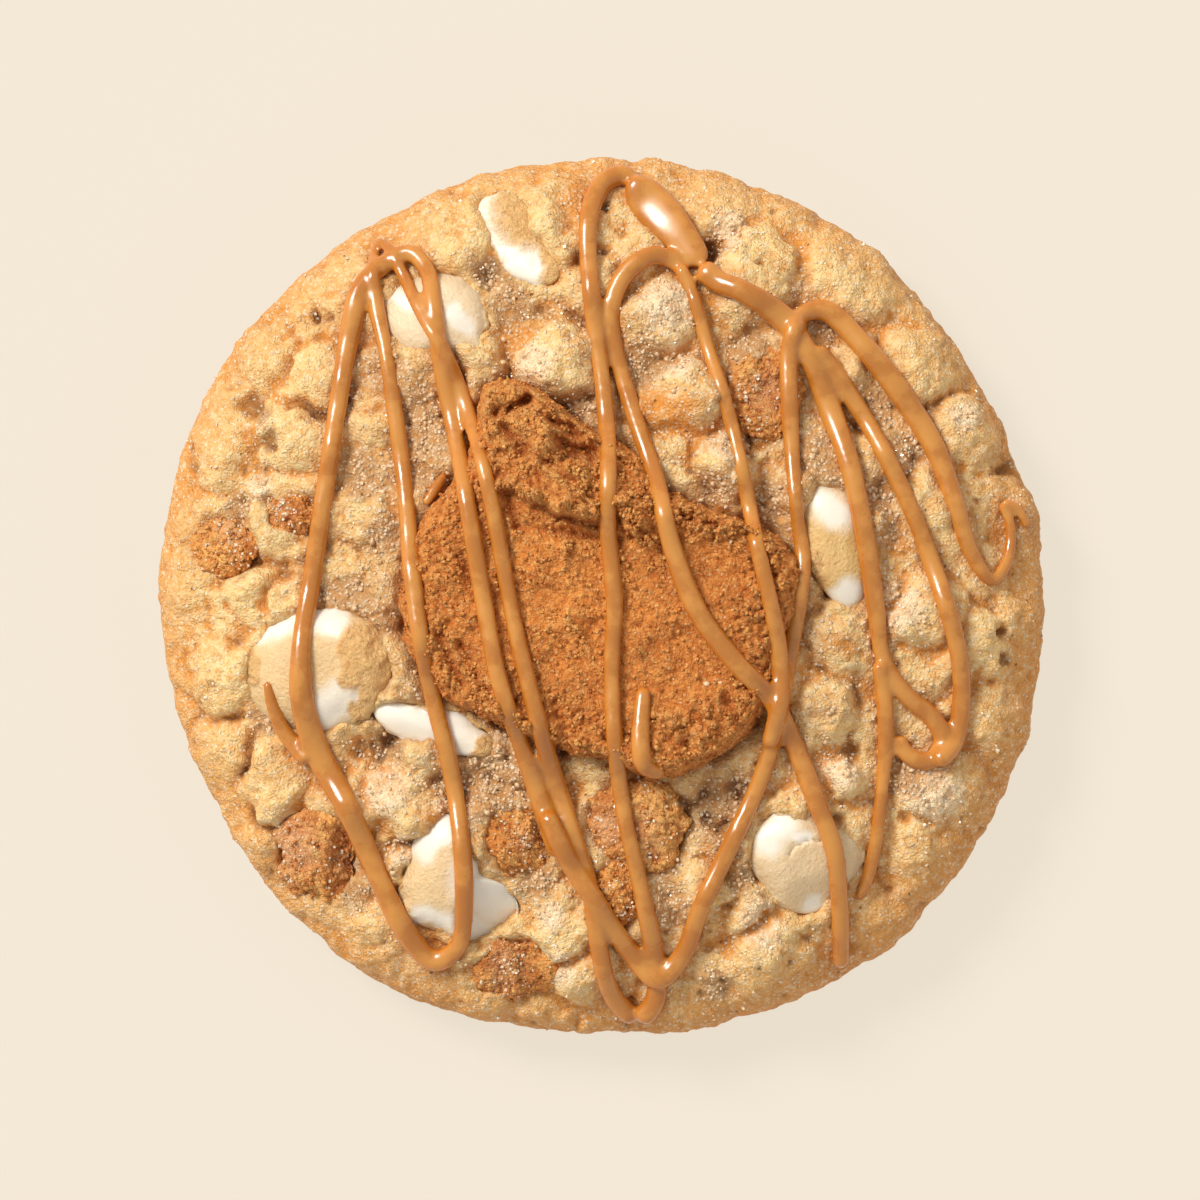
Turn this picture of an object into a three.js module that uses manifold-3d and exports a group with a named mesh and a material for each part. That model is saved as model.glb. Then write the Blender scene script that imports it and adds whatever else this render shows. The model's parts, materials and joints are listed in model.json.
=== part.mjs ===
// A thick, soft drop cookie with a broken speculoos biscuit pressed into its top, white chocolate
// chips and smaller biscuit chunks around it, and a caramel drizzle run over everything.
// Millimetres, +Z up. The origin is on the table, under the middle of the cookie. +Y points to the
// far side, where the drizzle's fat pool lies, and +X to the right of it.

import * as THREE from 'three';
import { mergeVertices } from 'three/addons/utils/BufferGeometryUtils.js';
import Module from 'manifold-3d';

const wasm = await Module();
wasm.setup();

// Driving dimensions.
const rimRadius = 49.8;        // mean radius of the dough at its widest
const rimHeight = 5;           // height of that widest line above the table
const footRadius = 47.2;       // radius of the flat underside
const domeHeight = 18;         // top of the dough's dome
const domeFullness = 2.6;      // 2 is an ellipse's section, more is flatter on top
const biscuitRadius = 21;      // mean radius of the big biscuit
const biscuitBottom = 13.6;
const biscuitTop = 22.2;
const biscuitCentre = [0, 0.7];
const seatGap = 0.4;           // clear space between the dough and what is pressed into it
const drizzleTop = 0.62;       // a strand's top over its support, per width
const drizzleRoot = 0.3;       // how far it reaches into its support, per width
const drizzleCrown = 0.58;     // width of its flat top, per width
const drizzleMelt = 0.9;       // how far a strand sinks into one that it crosses
const drizzleStep = 9;         // longest straight step of a strand
const skyHeight = 40;          // above everything

// How finely each kind of piece is faceted: facets around it, and rings from its middle to its foot.
const doughFacets = { around: 76, rings: 12 };
const biscuitFacets = { around: 36, rings: 7 };
const chipFacets = { around: 14, rings: 5 };
const chunkFacets = { around: 10, rings: 5 };

const fullTurn = 2 * Math.PI;
const degree = Math.PI / 180;

// The dough's outline: [angle in degrees, radius].
const doughOutline = [
  [0, 50], [30, 49.2], [60, 49.4], [90, 49.3], [120, 49.3], [150, 49.9],
  [180, 49.7], [210, 49.2], [240, 50.2], [270, 49.2], [305, 51.1], [330, 50.8],
];

// The big biscuit's broken outline about its centre, with the horn at 118 degrees.
const biscuitOutline = [
  [10, 22], [34, 15.6], [58, 13.2], [78, 15.8], [93, 17.9], [103, 21.5], [111, 25], [119, 26.2],
  [128, 22.5], [140, 20.5], [160, 21.4], [189, 22.6], [209, 21.5], [230, 19], [256, 18.5],
  [273, 19.3], [289, 22.2], [305, 22.7], [319, 23], [345, 21.2],
];

// Lumps of dough that stand out: [x, y, radius, height].
const lumps = [
  [-43, 16, 4, 1.2], [-33.5, 17.5, 4.5, 1.5], [-38.5, 27.5, 3.5, 1], [-32, 24.5, 3.5, 1],
  [-24.5, 18.5, 3, 0.8], [-29, 34.5, 5, 0.6], [-17, 41.5, 5.5, 1], [-6.5, 42, 6.5, 1.2],
  [-5, 25.5, 5, 1.8], [-38.5, 0.5, 4, 1.2], [-47, 2, 3.5, 0.6], [-26, 9.5, 3.5, 0.8],
  [-43, -9.5, 4.5, 1], [-35.5, -0.5, 3, 0.8], [-26.5, 0.5, 4, 0.4], [5.5, 31, 5, 1.4],
  [4, 38.5, 3.5, 0.6], [17, 35.5, 6, 1.4], [10, 22, 5, 1.8], [13.5, 14, 4, 2],
  [28, 36.5, 6.5, 1.2], [36, 25.5, 5, 1.2], [41, 18.5, 4, 0.9], [13.5, 44.5, 4.5, 0.7],
  [36.5, -1.5, 4.5, 1.3], [42, -6, 4.5, 1], [47, -2.5, 3.5, 0.6], [-42.5, -17, 4, 1],
  [-36.5, -21, 4.5, 1.2], [-39, -28, 3.5, 0.8], [-21.5, -23, 5, 1.2], [-25, -38, 4.5, 1],
  [-19, -18.5, 3.5, 0.6], [-4.5, -37, 4, 1], [-2, -42.5, 4, 1], [-13.5, -45, 4, 0.8],
  [19, -41, 5.5, 1.8], [27.5, -20.5, 3, 1.2], [25, -12.5, 4.5, 1.2], [26.5, -6, 3.5, 0.8],
  [39, -23, 6, 1.2], [37, -29.5, 5, 1.2], [32.5, -37.5, 5, 1], [12, -34, 4, 1],
  [6.5, -35.5, 3, 0.6], [15.5, -35, 3.5, 0.6], [45, -15, 4.5, 0.8],
];
const fillSpacing = 8.4;       // grid of the smaller lumps between them
const fillRadius = 4;
const fillHeight = 0.8;
const fillJitter = 0.6;        // how far one may stray from the grid, per spacing
const fillRoom = 0.75;         // how close one may lie to a placed lump, per sum of their radii
const lumpLift = 1.4;          // raises every lump alike
const lumpSharpness = 9;
const creaseDepth = 1.4;
const creaseWidth = 0.2;
const grainHeight = 0.25;
const grainSize = 3.1;

// Dark valleys and holes in the dough: [x, y, radius, depth].
const hollows = [
  [-26, -16.5, 3, 2.2], [10, -23, 4.5, 1.6], [-11, 26.5, 3.5, 1.4], [6, 27, 3.5, 1.4],
  [16, 28, 3, 1.8], [24, 22.5, 3, 1.6], [-28, -0.5, 3.5, 1], [-41, 5.5, 4.5, 1.2],
  [12.5, 39.5, 1.6, 1.2], [46, 14.5, 2, 0.8], [45.5, 6.5, 2, 1], [-3, -23, 3.5, 1.2],
  [-9, -34.5, 3, 1.2], [30, -11.5, 2, 1], [29, 19.5, 2.5, 1.4], [29.5, 4, 2, 0.8],
];

// A closed outline from radii at equal angles from +X, counter-clockwise.
const evenly = (radii) => radii.map((radius, index) => [(360 * index) / radii.length, radius]);

// White chocolate chips: rise is how far a chip stands over the dough and drop how deep it sits.
const chips = [
  { at: [-9.2, 40.1], outline: evenly([3, 3.2, 4.6, 6, 3.4, 3.2, 4.4, 6.2]), rise: 0.9, drop: 3 },
  { at: [-18.2, 31.5], outline: evenly([5.4, 5, 4.6, 5, 6, 5.6, 4.6, 5]), rise: 2.2, drop: 4 },
  { at: [-31.1, -8.1], outline: evenly([8.5, 7.2, 6.8, 7.3, 8.6, 8.2, 7.3, 7.3]), rise: 2.6, drop: 5 },
  {
    at: [-18.7, -14.6],
    outline: [
      [0, 4.6], [45, 2.6], [90, 2.2], [130, 3.4], [160, 7.2], [200, 3.8], [270, 2.1], [313, 4.4],
      [341, 7.4],
    ],
    rise: 1.2,
    drop: 4,
  },
  { at: [-16.2, -32.4], outline: evenly([5, 3.5, 7.3, 6, 5.9, 6.2, 7, 7]), rise: 2.4, drop: 5 },
  { at: [26.4, 5.7], outline: evenly([3.5, 4.6, 6.9, 4.7, 3.4, 4.3, 6.8, 4.8]), rise: 2, drop: 4.5 },
  { at: [22.8, -30.6], outline: evenly([6.6, 5.9, 5.8, 6, 5.9, 5.8, 6, 6]), rise: 2.2, drop: 5 },
];

// Chunks of the same biscuit, broken small, listed as the chips are.
const chunks = [
  { at: [18.2, 22.6], outline: evenly([4.2, 4.8, 5, 4.4, 3.8, 4.8, 5.4, 4.6]), rise: 0.5, drop: 4 },
  { at: [-42, 5.5], outline: evenly([3.6, 3.2, 3, 3.4, 3.8, 3.4, 3.2, 3.6]), rise: 0.7, drop: 3 },
  { at: [-34.7, 8.6], outline: evenly([3.2, 2.8, 2.4, 2.6, 3, 2.6, 2.2, 2.6]), rise: 0.6, drop: 3 },
  { at: [-31.7, -28.7], outline: evenly([4.6, 5.8, 5, 5.6, 4.8, 5.6, 5.2, 5.6]), rise: 1.6, drop: 4 },
  { at: [-10, -28], outline: evenly([4, 4.2, 3.8, 4.2, 3.5, 2.6, 3.4, 4]), rise: 1.2, drop: 3.5 },
  { at: [3.6, -25.8], outline: evenly([6.2, 5.8, 5.4, 5, 4.4, 4.4, 5, 6]), rise: 1.6, drop: 4 },
  { at: [1.8, -33.6], outline: evenly([2.4, 2.8, 3.6, 3, 2.6, 3, 3.8, 2.8]), rise: 1, drop: 3 },
  { at: [-9.7, -42], outline: evenly([4.6, 3.8, 3.2, 3.8, 4.8, 3.8, 3, 3.6]), rise: 0.7, drop: 3 },
];

// The drizzle's strands, each a row of [x, y, width] points along its way over the cookie.
const strands = {
  leftLoops: [
    [-4.5, -29.3, 2.5], [-6.8, -22.3, 2.4], [-8.8, -16.7, 2.2], [-11.2, -9.6, 2.2],
    [-13, -0.4, 2.1], [-14.6, 9.1, 2.1], [-16.1, 17.5, 2.1], [-17.6, 25.1, 2.2], [-18.6, 32, 2.1],
    [-19.5, 36.7, 2.1], [-21.4, 38.5, 2.1], [-24.2, 37.3, 2.2], [-26.8, 34.5, 2.4],
    [-28, 29.8, 2.5], [-29.3, 21.9, 2.2], [-30.8, 11.9, 2.1], [-32.3, 1.8, 2.2],
    [-33.4, -5.5, 2.4], [-33.3, -11.6, 2.9], [-31.6, -17.5, 3.2], [-28.3, -23.7, 2.7],
    [-25.2, -30.7, 2.5], [-21.9, -37.5, 2.5], [-18.6, -41, 2.5], [-16, -39.4, 2.2],
    [-15.2, -34, 2.2], [-15.8, -25.1, 2.1], [-17.1, -17.5, 2.2], [-18.9, -10.5, 2.1],
    [-20.3, -2.7, 2.1], [-21.1, 4, 2.1], [-21.8, 11.9, 2], [-23, 20.8, 1.9], [-24.1, 27.8, 1.8],
    [-25.1, 32.6, 1.9], [-25.5, 37.4, 1.3], [-24.9, 40.2, 1],
  ],
  leftFall: [
    [-25.1, 40.3, 1], [-23.5, 38.6, 1.3], [-21.9, 35.6, 1.6], [-19.7, 31.1, 1.6],
    [-17.1, 26.7, 1.7], [-14.6, 19.9, 1.8], [-12.4, 11.9, 1.9], [-10.9, 4, 1.9],
    [-9.4, -3.8, 2], [-7.5, -11.6, 2.1], [-5.5, -18.9, 2.2], [-3.1, -26.4, 2.2],
    [-1.1, -32.9, 2.2], [-0.2, -39.1, 2.2], [1.3, -44.7, 2.3], [4.1, -48, 2.4],
  ],
  leftTail: [[-37.4, -9.4, 1], [-36.7, -12.2, 1.6], [-35.4, -15.2, 1.9], [-32.6, -18.6, 2.2]],
  middleRise: [
    [4.3, -48, 2.4], [6.2, -45.4, 2.4], [6.2, -41, 2.4], [4.6, -32.9, 2.1], [2.8, -24.9, 2],
    [1.7, -16.7, 2], [1.3, -8.3, 2], [1.6, -0.4, 2], [0.9, 7.4, 2.1], [0.9, 16.3, 2.1],
    [0.3, 23.6, 2], [-0.4, 28.7, 2.1], [-0.9, 34.3, 2.2], [-0.2, 41.5, 2.2], [1.2, 45.8, 2.4],
    [3.6, 46.8, 2.6],
  ],
  farPool: [[3.4, 46.2, 2.6], [5.4, 44.2, 5], [8.4, 40.6, 4.8], [11, 37.4, 3.4]],
  rightRun: [
    [11, 37.4, 3], [13, 35.4, 2.6], [16.2, 34, 2.7], [20.7, 30.9, 2.9], [23.7, 26.2, 2.7],
    [26, 20.3, 2.6], [28.1, 14.1, 2.5], [29.8, 5.7, 2.4], [30.9, -1.6, 2.2], [31.8, -7.2, 2],
    [34.2, -11, 2.1], [37.4, -13.8, 2.2], [38.5, -16.3, 2.1], [37, -18.5, 2.1],
    [34.5, -17.8, 2], [33.2, -15.6, 1.8],
  ],
  nearLoop: [
    [-6.2, -24, 2.2], [-3.4, -29.8, 2.4], [-0.2, -34.6, 2.4], [3.1, -39.6, 2.4], [6.5, -43, 2.5],
    [9.3, -40.2, 2.3], [11.4, -34.6, 2.2], [14.9, -27.3, 2.1], [17.9, -20.6, 2.1],
    [19.6, -15, 2.2], [21.1, -7.2, 2], [22.3, -0.4, 2], [22.7, 4, 1.9], [22.1, 8.5, 1.7],
    [21.5, 15.8, 1.9], [21.2, 21.9, 2.2], [21.3, 28.1, 2.2], [22.7, 31.5, 2.2], [25.3, 32, 2.5],
    [29.3, 28.3, 2.7], [33.9, 22.5, 2.8], [37.7, 16.3, 2.5], [40, 9.9, 2.2], [41.8, 4.6, 1.9],
    [44.1, 1.8, 1.6], [45.8, 4, 1.5], [46.2, 8, 1.3], [45.1, 10.6, 1.1],
  ],
  rimTail: [[45.1, 10.6, 1.1], [46.8, 10, 1.2], [48.4, 7.6, 1.2]],
  smallLoop: [
    [9.4, 36, 1.8], [8.5, 37.4, 2], [6.2, 38.2, 2.2], [3.8, 37.1, 2.2], [1.9, 34.6, 2.2],
    [1.2, 31.5, 2.2], [1.8, 27.3, 2], [3.7, 20.6, 2], [6.2, 13, 2.1], [8.1, 5.2, 2.2],
    [10.9, -1.8, 2.4], [15.1, -7.4, 2.4], [19.1, -11.6, 2.4], [21.8, -16.8, 2.4],
    [24.1, -22.8, 2.2], [26.2, -28.4, 2.2], [26.9, -34.6, 2.2], [27.1, -39.6, 2.1],
    [27.1, -42.1, 2],
  ],
  innerRight: [
    [8.8, 37.2, 1.7], [10.3, 34, 1.7], [12, 28.1, 1.7], [14.4, 20.3, 1.7], [16.2, 12.4, 1.8],
    [17.6, 5.2, 1.9], [18.9, -0.4, 2], [19.9, -6, 2.2], [20, -11.6, 2.2], [18.8, -17.2, 2.1],
  ],
  rightPass: [
    [24.2, 28, 2], [26.3, 25.1, 2.2], [29.8, 19.7, 2.2], [33.1, 13.5, 2.2], [35.8, 7.4, 2.1],
    [38.2, 0.7, 2.2], [40, -5.5, 2.2], [40.6, -11.1, 2.2], [39.8, -16.3, 2.2], [37.6, -19, 2.2],
  ],
  rightTail: [
    [31.2, -7.2, 1.8], [31.9, -12.2, 2], [32, -17.2, 1.9], [31.5, -22.8, 1.6],
    [30.9, -27.9, 1.6], [30, -31.8, 1.5], [28.9, -34.3, 0.9],
  ],
  biscuitDrip: [[5, -10.3, 1.3], [4.6, -13.9, 1.6], [4.8, -17.5, 1.7], [6.6, -19.6, 1.2]],
  sideDrip: [[-17.2, 13.9, 0.9], [-18.5, 11.9, 1.3], [-19.7, 10, 1]],
};

// A number from 0 to 1 that depends only on two whole numbers and a seed.
function hash(column, row, seed) {
  let mixed = Math.imul(column, 374761393) ^ Math.imul(row, 668265263) ^ Math.imul(seed, 974711);
  mixed = Math.imul(mixed ^ (mixed >>> 13), 1274126177);
  return ((mixed ^ (mixed >>> 16)) >>> 0) / 4294967296;
}

function smooth(from, to, value) {
  const share = Math.min(1, Math.max(0, (value - from) / (to - from)));
  return share * share * (3 - 2 * share);
}

// Soft noise from -1 to 1 over the plane, with lumps about as large as size.
function noise(x, y, size, seed) {
  const column = Math.floor(x / size);
  const row = Math.floor(y / size);
  const across = smooth(0, 1, x / size - column);
  const along = smooth(0, 1, y / size - row);
  const near = THREE.MathUtils.lerp(hash(column, row, seed), hash(column + 1, row, seed), across);
  const far = THREE.MathUtils.lerp(hash(column, row + 1, seed), hash(column + 1, row + 1, seed), across);
  return 2 * THREE.MathUtils.lerp(near, far, along) - 1;
}

// The radius of a closed outline at any angle, through [angle in degrees, radius] points.
function closedOutline(points) {
  const count = points.length;
  return (angle) => {
    const turned = THREE.MathUtils.euclideanModulo(angle / degree - points[0][0], 360) + points[0][0];
    const past = points.findIndex((point) => point[0] > turned);
    const index = past < 0 ? count - 1 : past - 1;
    const end = past < 0 ? points[0][0] + 360 : points[past][0];
    const share = (turned - points[index][0]) / (end - points[index][0]);
    const radius = (step) => points[(index + step + count) % count][1];
    const bend = (radius(1) - radius(-1)) / 2;
    const nextBend = (radius(2) - radius(0)) / 2;
    const rise = radius(1) - radius(0);
    const cubic = (bend + nextBend - 2 * rise) * share ** 3;
    return radius(0) + bend * share + (3 * rise - 2 * bend - nextBend) * share ** 2 + cubic;
  };
}

// The faces of a mesh whose corners are three different places.
function withoutSlivers(geometry) {
  const corners = Array.from(geometry.index.array);
  const kept = [];
  for (let first = 0; first < corners.length; first += 3) {
    const face = corners.slice(first, first + 3);
    if (new Set(face).size === 3) kept.push(...face);
  }
  geometry.setIndex(kept);
  return geometry;
}

// Both ends of a turned mesh meet exactly once their places are rounded.
function rounded(attribute, index) {
  const vector = new THREE.Vector3().fromBufferAttribute(attribute, index);
  return vector.multiplyScalar(1e5).round().divideScalar(1e5);
}

// A turned form: the profile, a list of [radius, height], runs from the top's middle out over the
// side to the foot and is closed by a flat underside. The outline stretches it, and shape moves each
// place of its skin.
function roundedForm({ start, profile, meanRadius, radiusAt, centre, facets, shape }) {
  const curve = new THREE.SplineCurve(profile.map(([out, up]) => new THREE.Vector2(out, up)));
  const foot = profile[profile.length - 1];
  const section = [
    new THREE.Vector2(0, start), ...curve.getSpacedPoints(facets.rings), new THREE.Vector2(0, foot[1]),
  ].reverse();
  const turned = new THREE.LatheGeometry(section, facets.around);
  turned.rotateX(Math.PI / 2);
  const normals = turned.getAttribute('normal').clone();
  const position = turned.getAttribute('position');
  for (let index = 0; index < position.count; index += 1) {
    const { x, y, z } = rounded(position, index);
    const stretch = radiusAt(Math.atan2(y, x)) / meanRadius;
    const place = new THREE.Vector3(centre[0] + x * stretch, centre[1] + y * stretch, z);
    const normal = rounded(normals, index);
    if (Math.hypot(x, y) === 0) normal.set(0, 0, Math.sign(normal.z));
    position.setXYZ(index, ...shape(place, normal).toArray());
  }
  turned.deleteAttribute('normal');
  turned.deleteAttribute('uv');
  return withoutSlivers(mergeVertices(turned, 1e-4));
}

// What stands between the lumps that were placed by hand: a loose grid of smaller ones.
function allLumps() {
  const found = [...lumps];
  const reach = Math.ceil(rimRadius / fillSpacing) + 1;
  for (let row = -reach; row <= reach; row += 1) {
    for (let column = -reach; column <= reach; column += 1) {
      const x = fillSpacing * (column + (row & 1) / 2 + fillJitter * (hash(column, row, 11) - 0.5));
      const y = fillSpacing * (row + fillJitter * (hash(column, row, 12) - 0.5));
      const crowded = lumps.some(([lumpX, lumpY, radius]) => (
        Math.hypot(lumpX - x, lumpY - y) < fillRoom * (radius + fillRadius)));
      const radius = fillRadius * (0.8 + 0.4 * hash(column, row, 13));
      const height = fillHeight * (0.5 + hash(column, row, 14));
      if (!crowded) found.push([x, y, radius, height]);
    }
  }
  return found;
}

const doughLumps = allLumps();

// How far the dough's skin stands off its plain dome at a place.
function doughRelief(x, y) {
  let nearest = Infinity;
  let second = Infinity;
  let total = 0;
  let height = 0;
  for (const [lumpX, lumpY, radius, rise] of doughLumps) {
    const distance = Math.hypot(x - lumpX, y - lumpY) / radius;
    const share = Math.exp(-lumpSharpness * distance);
    total += share;
    height += share * rise * Math.max(0, 1 - distance * distance);
    second = Math.min(second, Math.max(nearest, distance));
    nearest = Math.min(nearest, distance);
  }
  const crease = creaseDepth * Math.exp(-(((second - nearest) / creaseWidth) ** 2));
  let dip = 0;
  for (const [hollowX, hollowY, radius, depth] of hollows) {
    dip += depth * Math.exp(-(((x - hollowX) ** 2 + (y - hollowY) ** 2) / (radius * radius)));
  }
  return (lumpLift * height) / total - crease - dip + grainHeight * noise(x, y, grainSize, 21);
}

// The plain dome's height at a distance from the middle.
function domeAt(out) {
  return rimHeight + (domeHeight - rimHeight) * Math.sqrt(1 - Math.min(1, out / rimRadius) ** domeFullness);
}

function doughForm() {
  const dome = [14, 27, 38, 44.5, 48.2].map((out) => [out, domeAt(out)]);
  const profile = [...dome, [rimRadius, rimHeight], [rimRadius - 0.6, rimHeight / 2], [footRadius, 0]];
  return roundedForm({
    start: domeHeight,
    profile,
    meanRadius: rimRadius,
    radiusAt: closedOutline(doughOutline),
    centre: [0, 0],
    facets: doughFacets,
    shape: (place, normal) => {
      const skin = smooth(0.8, rimHeight + 4, place.z);
      return place.addScaledVector(normal, skin * doughRelief(place.x, place.y));
    },
  });
}

// The big biscuit's top: a broken, crumbly ridge on its far left, a ledge and a second ridge
// across its right, a raised rim along its near edge, and a sandy plateau between them.
function biscuitRelief(x, y) {
  const ridge = ([fromX, fromY], [toX, toY], width, height) => {
    const line = new THREE.Line3(new THREE.Vector3(fromX, fromY, 0), new THREE.Vector3(toX, toY, 0));
    const here = new THREE.Vector3(x, y, 0);
    const distance = line.closestPointToPoint(here, true, new THREE.Vector3()).distanceTo(here);
    return height * Math.exp(-((distance / width) ** 2));
  };
  const ridges = ridge([-12, 22], [-4, 13.5], 4, 2.4)
    + ridge([-4, 13.5], [3, 10.5], 2.6, 1.4)
    + ridge([-3, 11], [17, 7.5], 2.2, 1.4)
    + ridge([-19, -6], [-11, -14], 2.4, 1.2)
    + ridge([-11, -14], [0, -18.5], 2.2, 1)
    + ridge([0, -18.5], [11, -19.5], 2.4, 1.2)
    + ridge([11, -19.5], [19, -12], 2.6, 0.8);
  const cracks = ridge([-3.6, 16.4], [-1.6, 15.4], 1.8, 2.6)
    + ridge([9, 9.2], [15.5, 8.4], 1, 1.6)
    + ridge([-9, 18], [-5.5, 14.6], 0.9, 1.4);
  return ridges - cracks + 0.5 * noise(x, y, 2.4, 31) + 0.4 * noise(x, y, 5.3, 32);
}

function bigBiscuitForm() {
  const edge = biscuitRadius;
  const profile = [
    [4, biscuitTop], [edge - 8, biscuitTop], [edge - 3, biscuitTop - 0.2],
    [edge - 0.8, biscuitTop - 1.3], [edge, biscuitTop - 3.6], [edge - 0.4, biscuitBottom + 2],
    [edge - 2, biscuitBottom],
  ];
  return roundedForm({
    start: biscuitTop,
    profile,
    meanRadius: biscuitRadius,
    radiusAt: closedOutline(biscuitOutline),
    centre: biscuitCentre,
    facets: biscuitFacets,
    shape: (place, normal) => {
      place.z += smooth(0.1, 0.9, normal.z) * biscuitRelief(place.x, place.y);
      return place;
    },
  });
}

// A chip or chunk: widest where it leaves the dough, leaning with the dome. Roughness breaks its top.
function insetForm({ at, outline, rise, drop }, facets, roughness, seed) {
  const meanRadius = outline.reduce((sum, [, radius]) => sum + radius, 0) / outline.length;
  const away = Math.hypot(...at);
  const seat = domeAt(away);
  const profile = [
    [0.35 * meanRadius, seat + rise], [0.7 * meanRadius, seat + 0.75 * rise],
    [0.92 * meanRadius, seat + 0.25 * rise], [meanRadius, seat - 0.5],
    [0.7 * meanRadius, seat - drop],
  ];
  const lean = domeAt(away + 0.5) - domeAt(away - 0.5);
  return roundedForm({
    start: seat + rise,
    profile,
    meanRadius,
    radiusAt: closedOutline(outline),
    centre: at,
    facets,
    shape: (place, normal) => {
      const outward = ((place.x - at[0]) * at[0] + (place.y - at[1]) * at[1]) / away;
      const rough = roughness * noise(place.x, place.y, 1.9, seed);
      place.z += lean * outward + Math.max(0, normal.z) * rough;
      return place;
    },
  });
}

function toSolid(geometry) {
  const vertProperties = new Float32Array(geometry.getAttribute('position').array);
  const triVerts = new Uint32Array(geometry.index.array);
  return new wasm.Manifold(new wasm.Mesh({ numProp: 3, vertProperties, triVerts }));
}

function toGeometry(solid) {
  const mesh = solid.getMesh();
  const geometry = new THREE.BufferGeometry();
  geometry.setAttribute('position', new THREE.BufferAttribute(mesh.vertProperties, mesh.numProp));
  geometry.setIndex(new THREE.BufferAttribute(mesh.triVerts, 1));
  return geometry;
}

// The largest body of a solid, without loose scraps or sealed hollows.
const mainBody = (solid) => solid.decompose().reduce((a, b) => (b.volume() > a.volume() ? b : a));

// An upright block over a piece's outline, grown by a margin, from below it to the sky.
function blockOver({ radiusAt, centre, facets }, bottom, margin) {
  const sides = facets.around;
  const shape = new THREE.Shape(Array.from({ length: sides }, (unused, index) => {
    const angle = (fullTurn * index) / sides - fullTurn / 4;
    const out = radiusAt(angle) + margin;
    return new THREE.Vector2(centre[0] + out * Math.cos(angle), centre[1] + out * Math.sin(angle));
  }));
  const geometry = new THREE.ExtrudeGeometry(shape, { depth: skyHeight - bottom, bevelEnabled: false });
  geometry.deleteAttribute('normal');
  geometry.deleteAttribute('uv');
  geometry.translate(0, 0, bottom);
  return toSolid(mergeVertices(geometry, 1e-5));
}

// Where a strand is placed along its way: at each of its points, and between two that lie far apart.
function strandSpots(points, support, laid) {
  const route = new THREE.CatmullRomCurve3(points.map(([x, y, width]) => new THREE.Vector3(x, y, width)));
  const spans = points.length - 1;
  const shares = [0];
  for (let index = 0; index < spans; index += 1) {
    const [from, to] = [points[index], points[index + 1]];
    const pieces = Math.ceil(Math.hypot(to[0] - from[0], to[1] - from[1]) / drizzleStep);
    for (let step = 1; step <= pieces; step += 1) shares.push((index + step / pieces) / spans);
  }
  const down = new THREE.Vector3(0, 0, -1);
  const highest = (x, y, targets, otherwise) => {
    const ray = new THREE.Raycaster(new THREE.Vector3(x, y, skyHeight), down);
    return ray.intersectObjects(targets)[0]?.point.z ?? otherwise;
  };
  return shares.map((share) => {
    const { x, y, z: width } = route.getPoint(share);
    const aside = route.getTangent(share).setZ(0).normalize();
    const under = highest(x, y, support, rimHeight);
    return { x, y, width, aside, height: Math.max(under, highest(x, y, laid, under) - drizzleMelt) };
  });
}

// One strand laid over whatever is under it: a four-sided cylinder's mesh bent along its way, its
// width changing, its ends closed and its top narrower than its root. Its bends are eased, so that it
// spans small dips.
function strandForm(points, support, laid) {
  const spots = strandSpots(points, support, laid);
  const steps = spots.length - 1;
  const eased = spots.map(({ height, width }, index) => {
    const before = spots[Math.max(0, index - 1)].height;
    const after = spots[Math.min(steps, index + 1)].height;
    return Math.max(height - drizzleRoot * width, (before + 2 * height + after) / 4);
  });
  const geometry = new THREE.CylinderGeometry(1, 1, 1, 4, steps);
  geometry.rotateY(Math.PI / 4);
  const position = geometry.getAttribute('position');
  for (let index = 0; index < position.count; index += 1) {
    const step = Math.round((0.5 - position.getY(index)) * steps);
    const { x, y, width, aside } = spots[step];
    const isCrown = position.getZ(index) > 0;
    const side = Math.sign(Math.round(position.getX(index)));
    const across = side * (isCrown ? drizzleCrown : 1) * (width / 2);
    const up = (isCrown || side === 0 ? drizzleTop : -drizzleRoot) * width;
    position.setXYZ(index, x - aside.y * across, y + aside.x * across, eased[step] + up);
  }
  geometry.deleteAttribute('normal');
  geometry.deleteAttribute('uv');
  return withoutSlivers(mergeVertices(geometry, 1e-4));
}

function meshOf(name, geometry, colour, roughness) {
  const material = new THREE.MeshStandardMaterial({ color: colour, roughness, metalness: 0 });
  const mesh = new THREE.Mesh(geometry, material);
  mesh.name = name;
  return mesh;
}

const doughColour = '#e6bd85';
const biscuitColour = '#c87f45';
const chipColour = '#f7ecd8';

// What is pressed into the dough.
const pieces = [
  {
    name: 'speculoos_biscuit',
    geometry: bigBiscuitForm(),
    radiusAt: closedOutline(biscuitOutline),
    centre: biscuitCentre,
    facets: biscuitFacets,
    colour: biscuitColour,
    roughness: 0.85,
  },
  ...chips.map((chip, index) => ({
    name: `white_chip_${index + 1}`,
    geometry: insetForm(chip, chipFacets, 0.3, 41 + index),
    radiusAt: closedOutline(chip.outline),
    centre: chip.at,
    facets: chipFacets,
    colour: chipColour,
    roughness: 0.45,
  })),
  ...chunks.map((chunk, index) => ({
    name: `biscuit_chunk_${index + 1}`,
    geometry: insetForm(chunk, chunkFacets, 0.8, 61 + index),
    radiusAt: closedOutline(chunk.outline),
    centre: chunk.at,
    facets: chunkFacets,
    colour: biscuitColour,
    roughness: 0.85,
  })),
];
const dough = doughForm();

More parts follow.
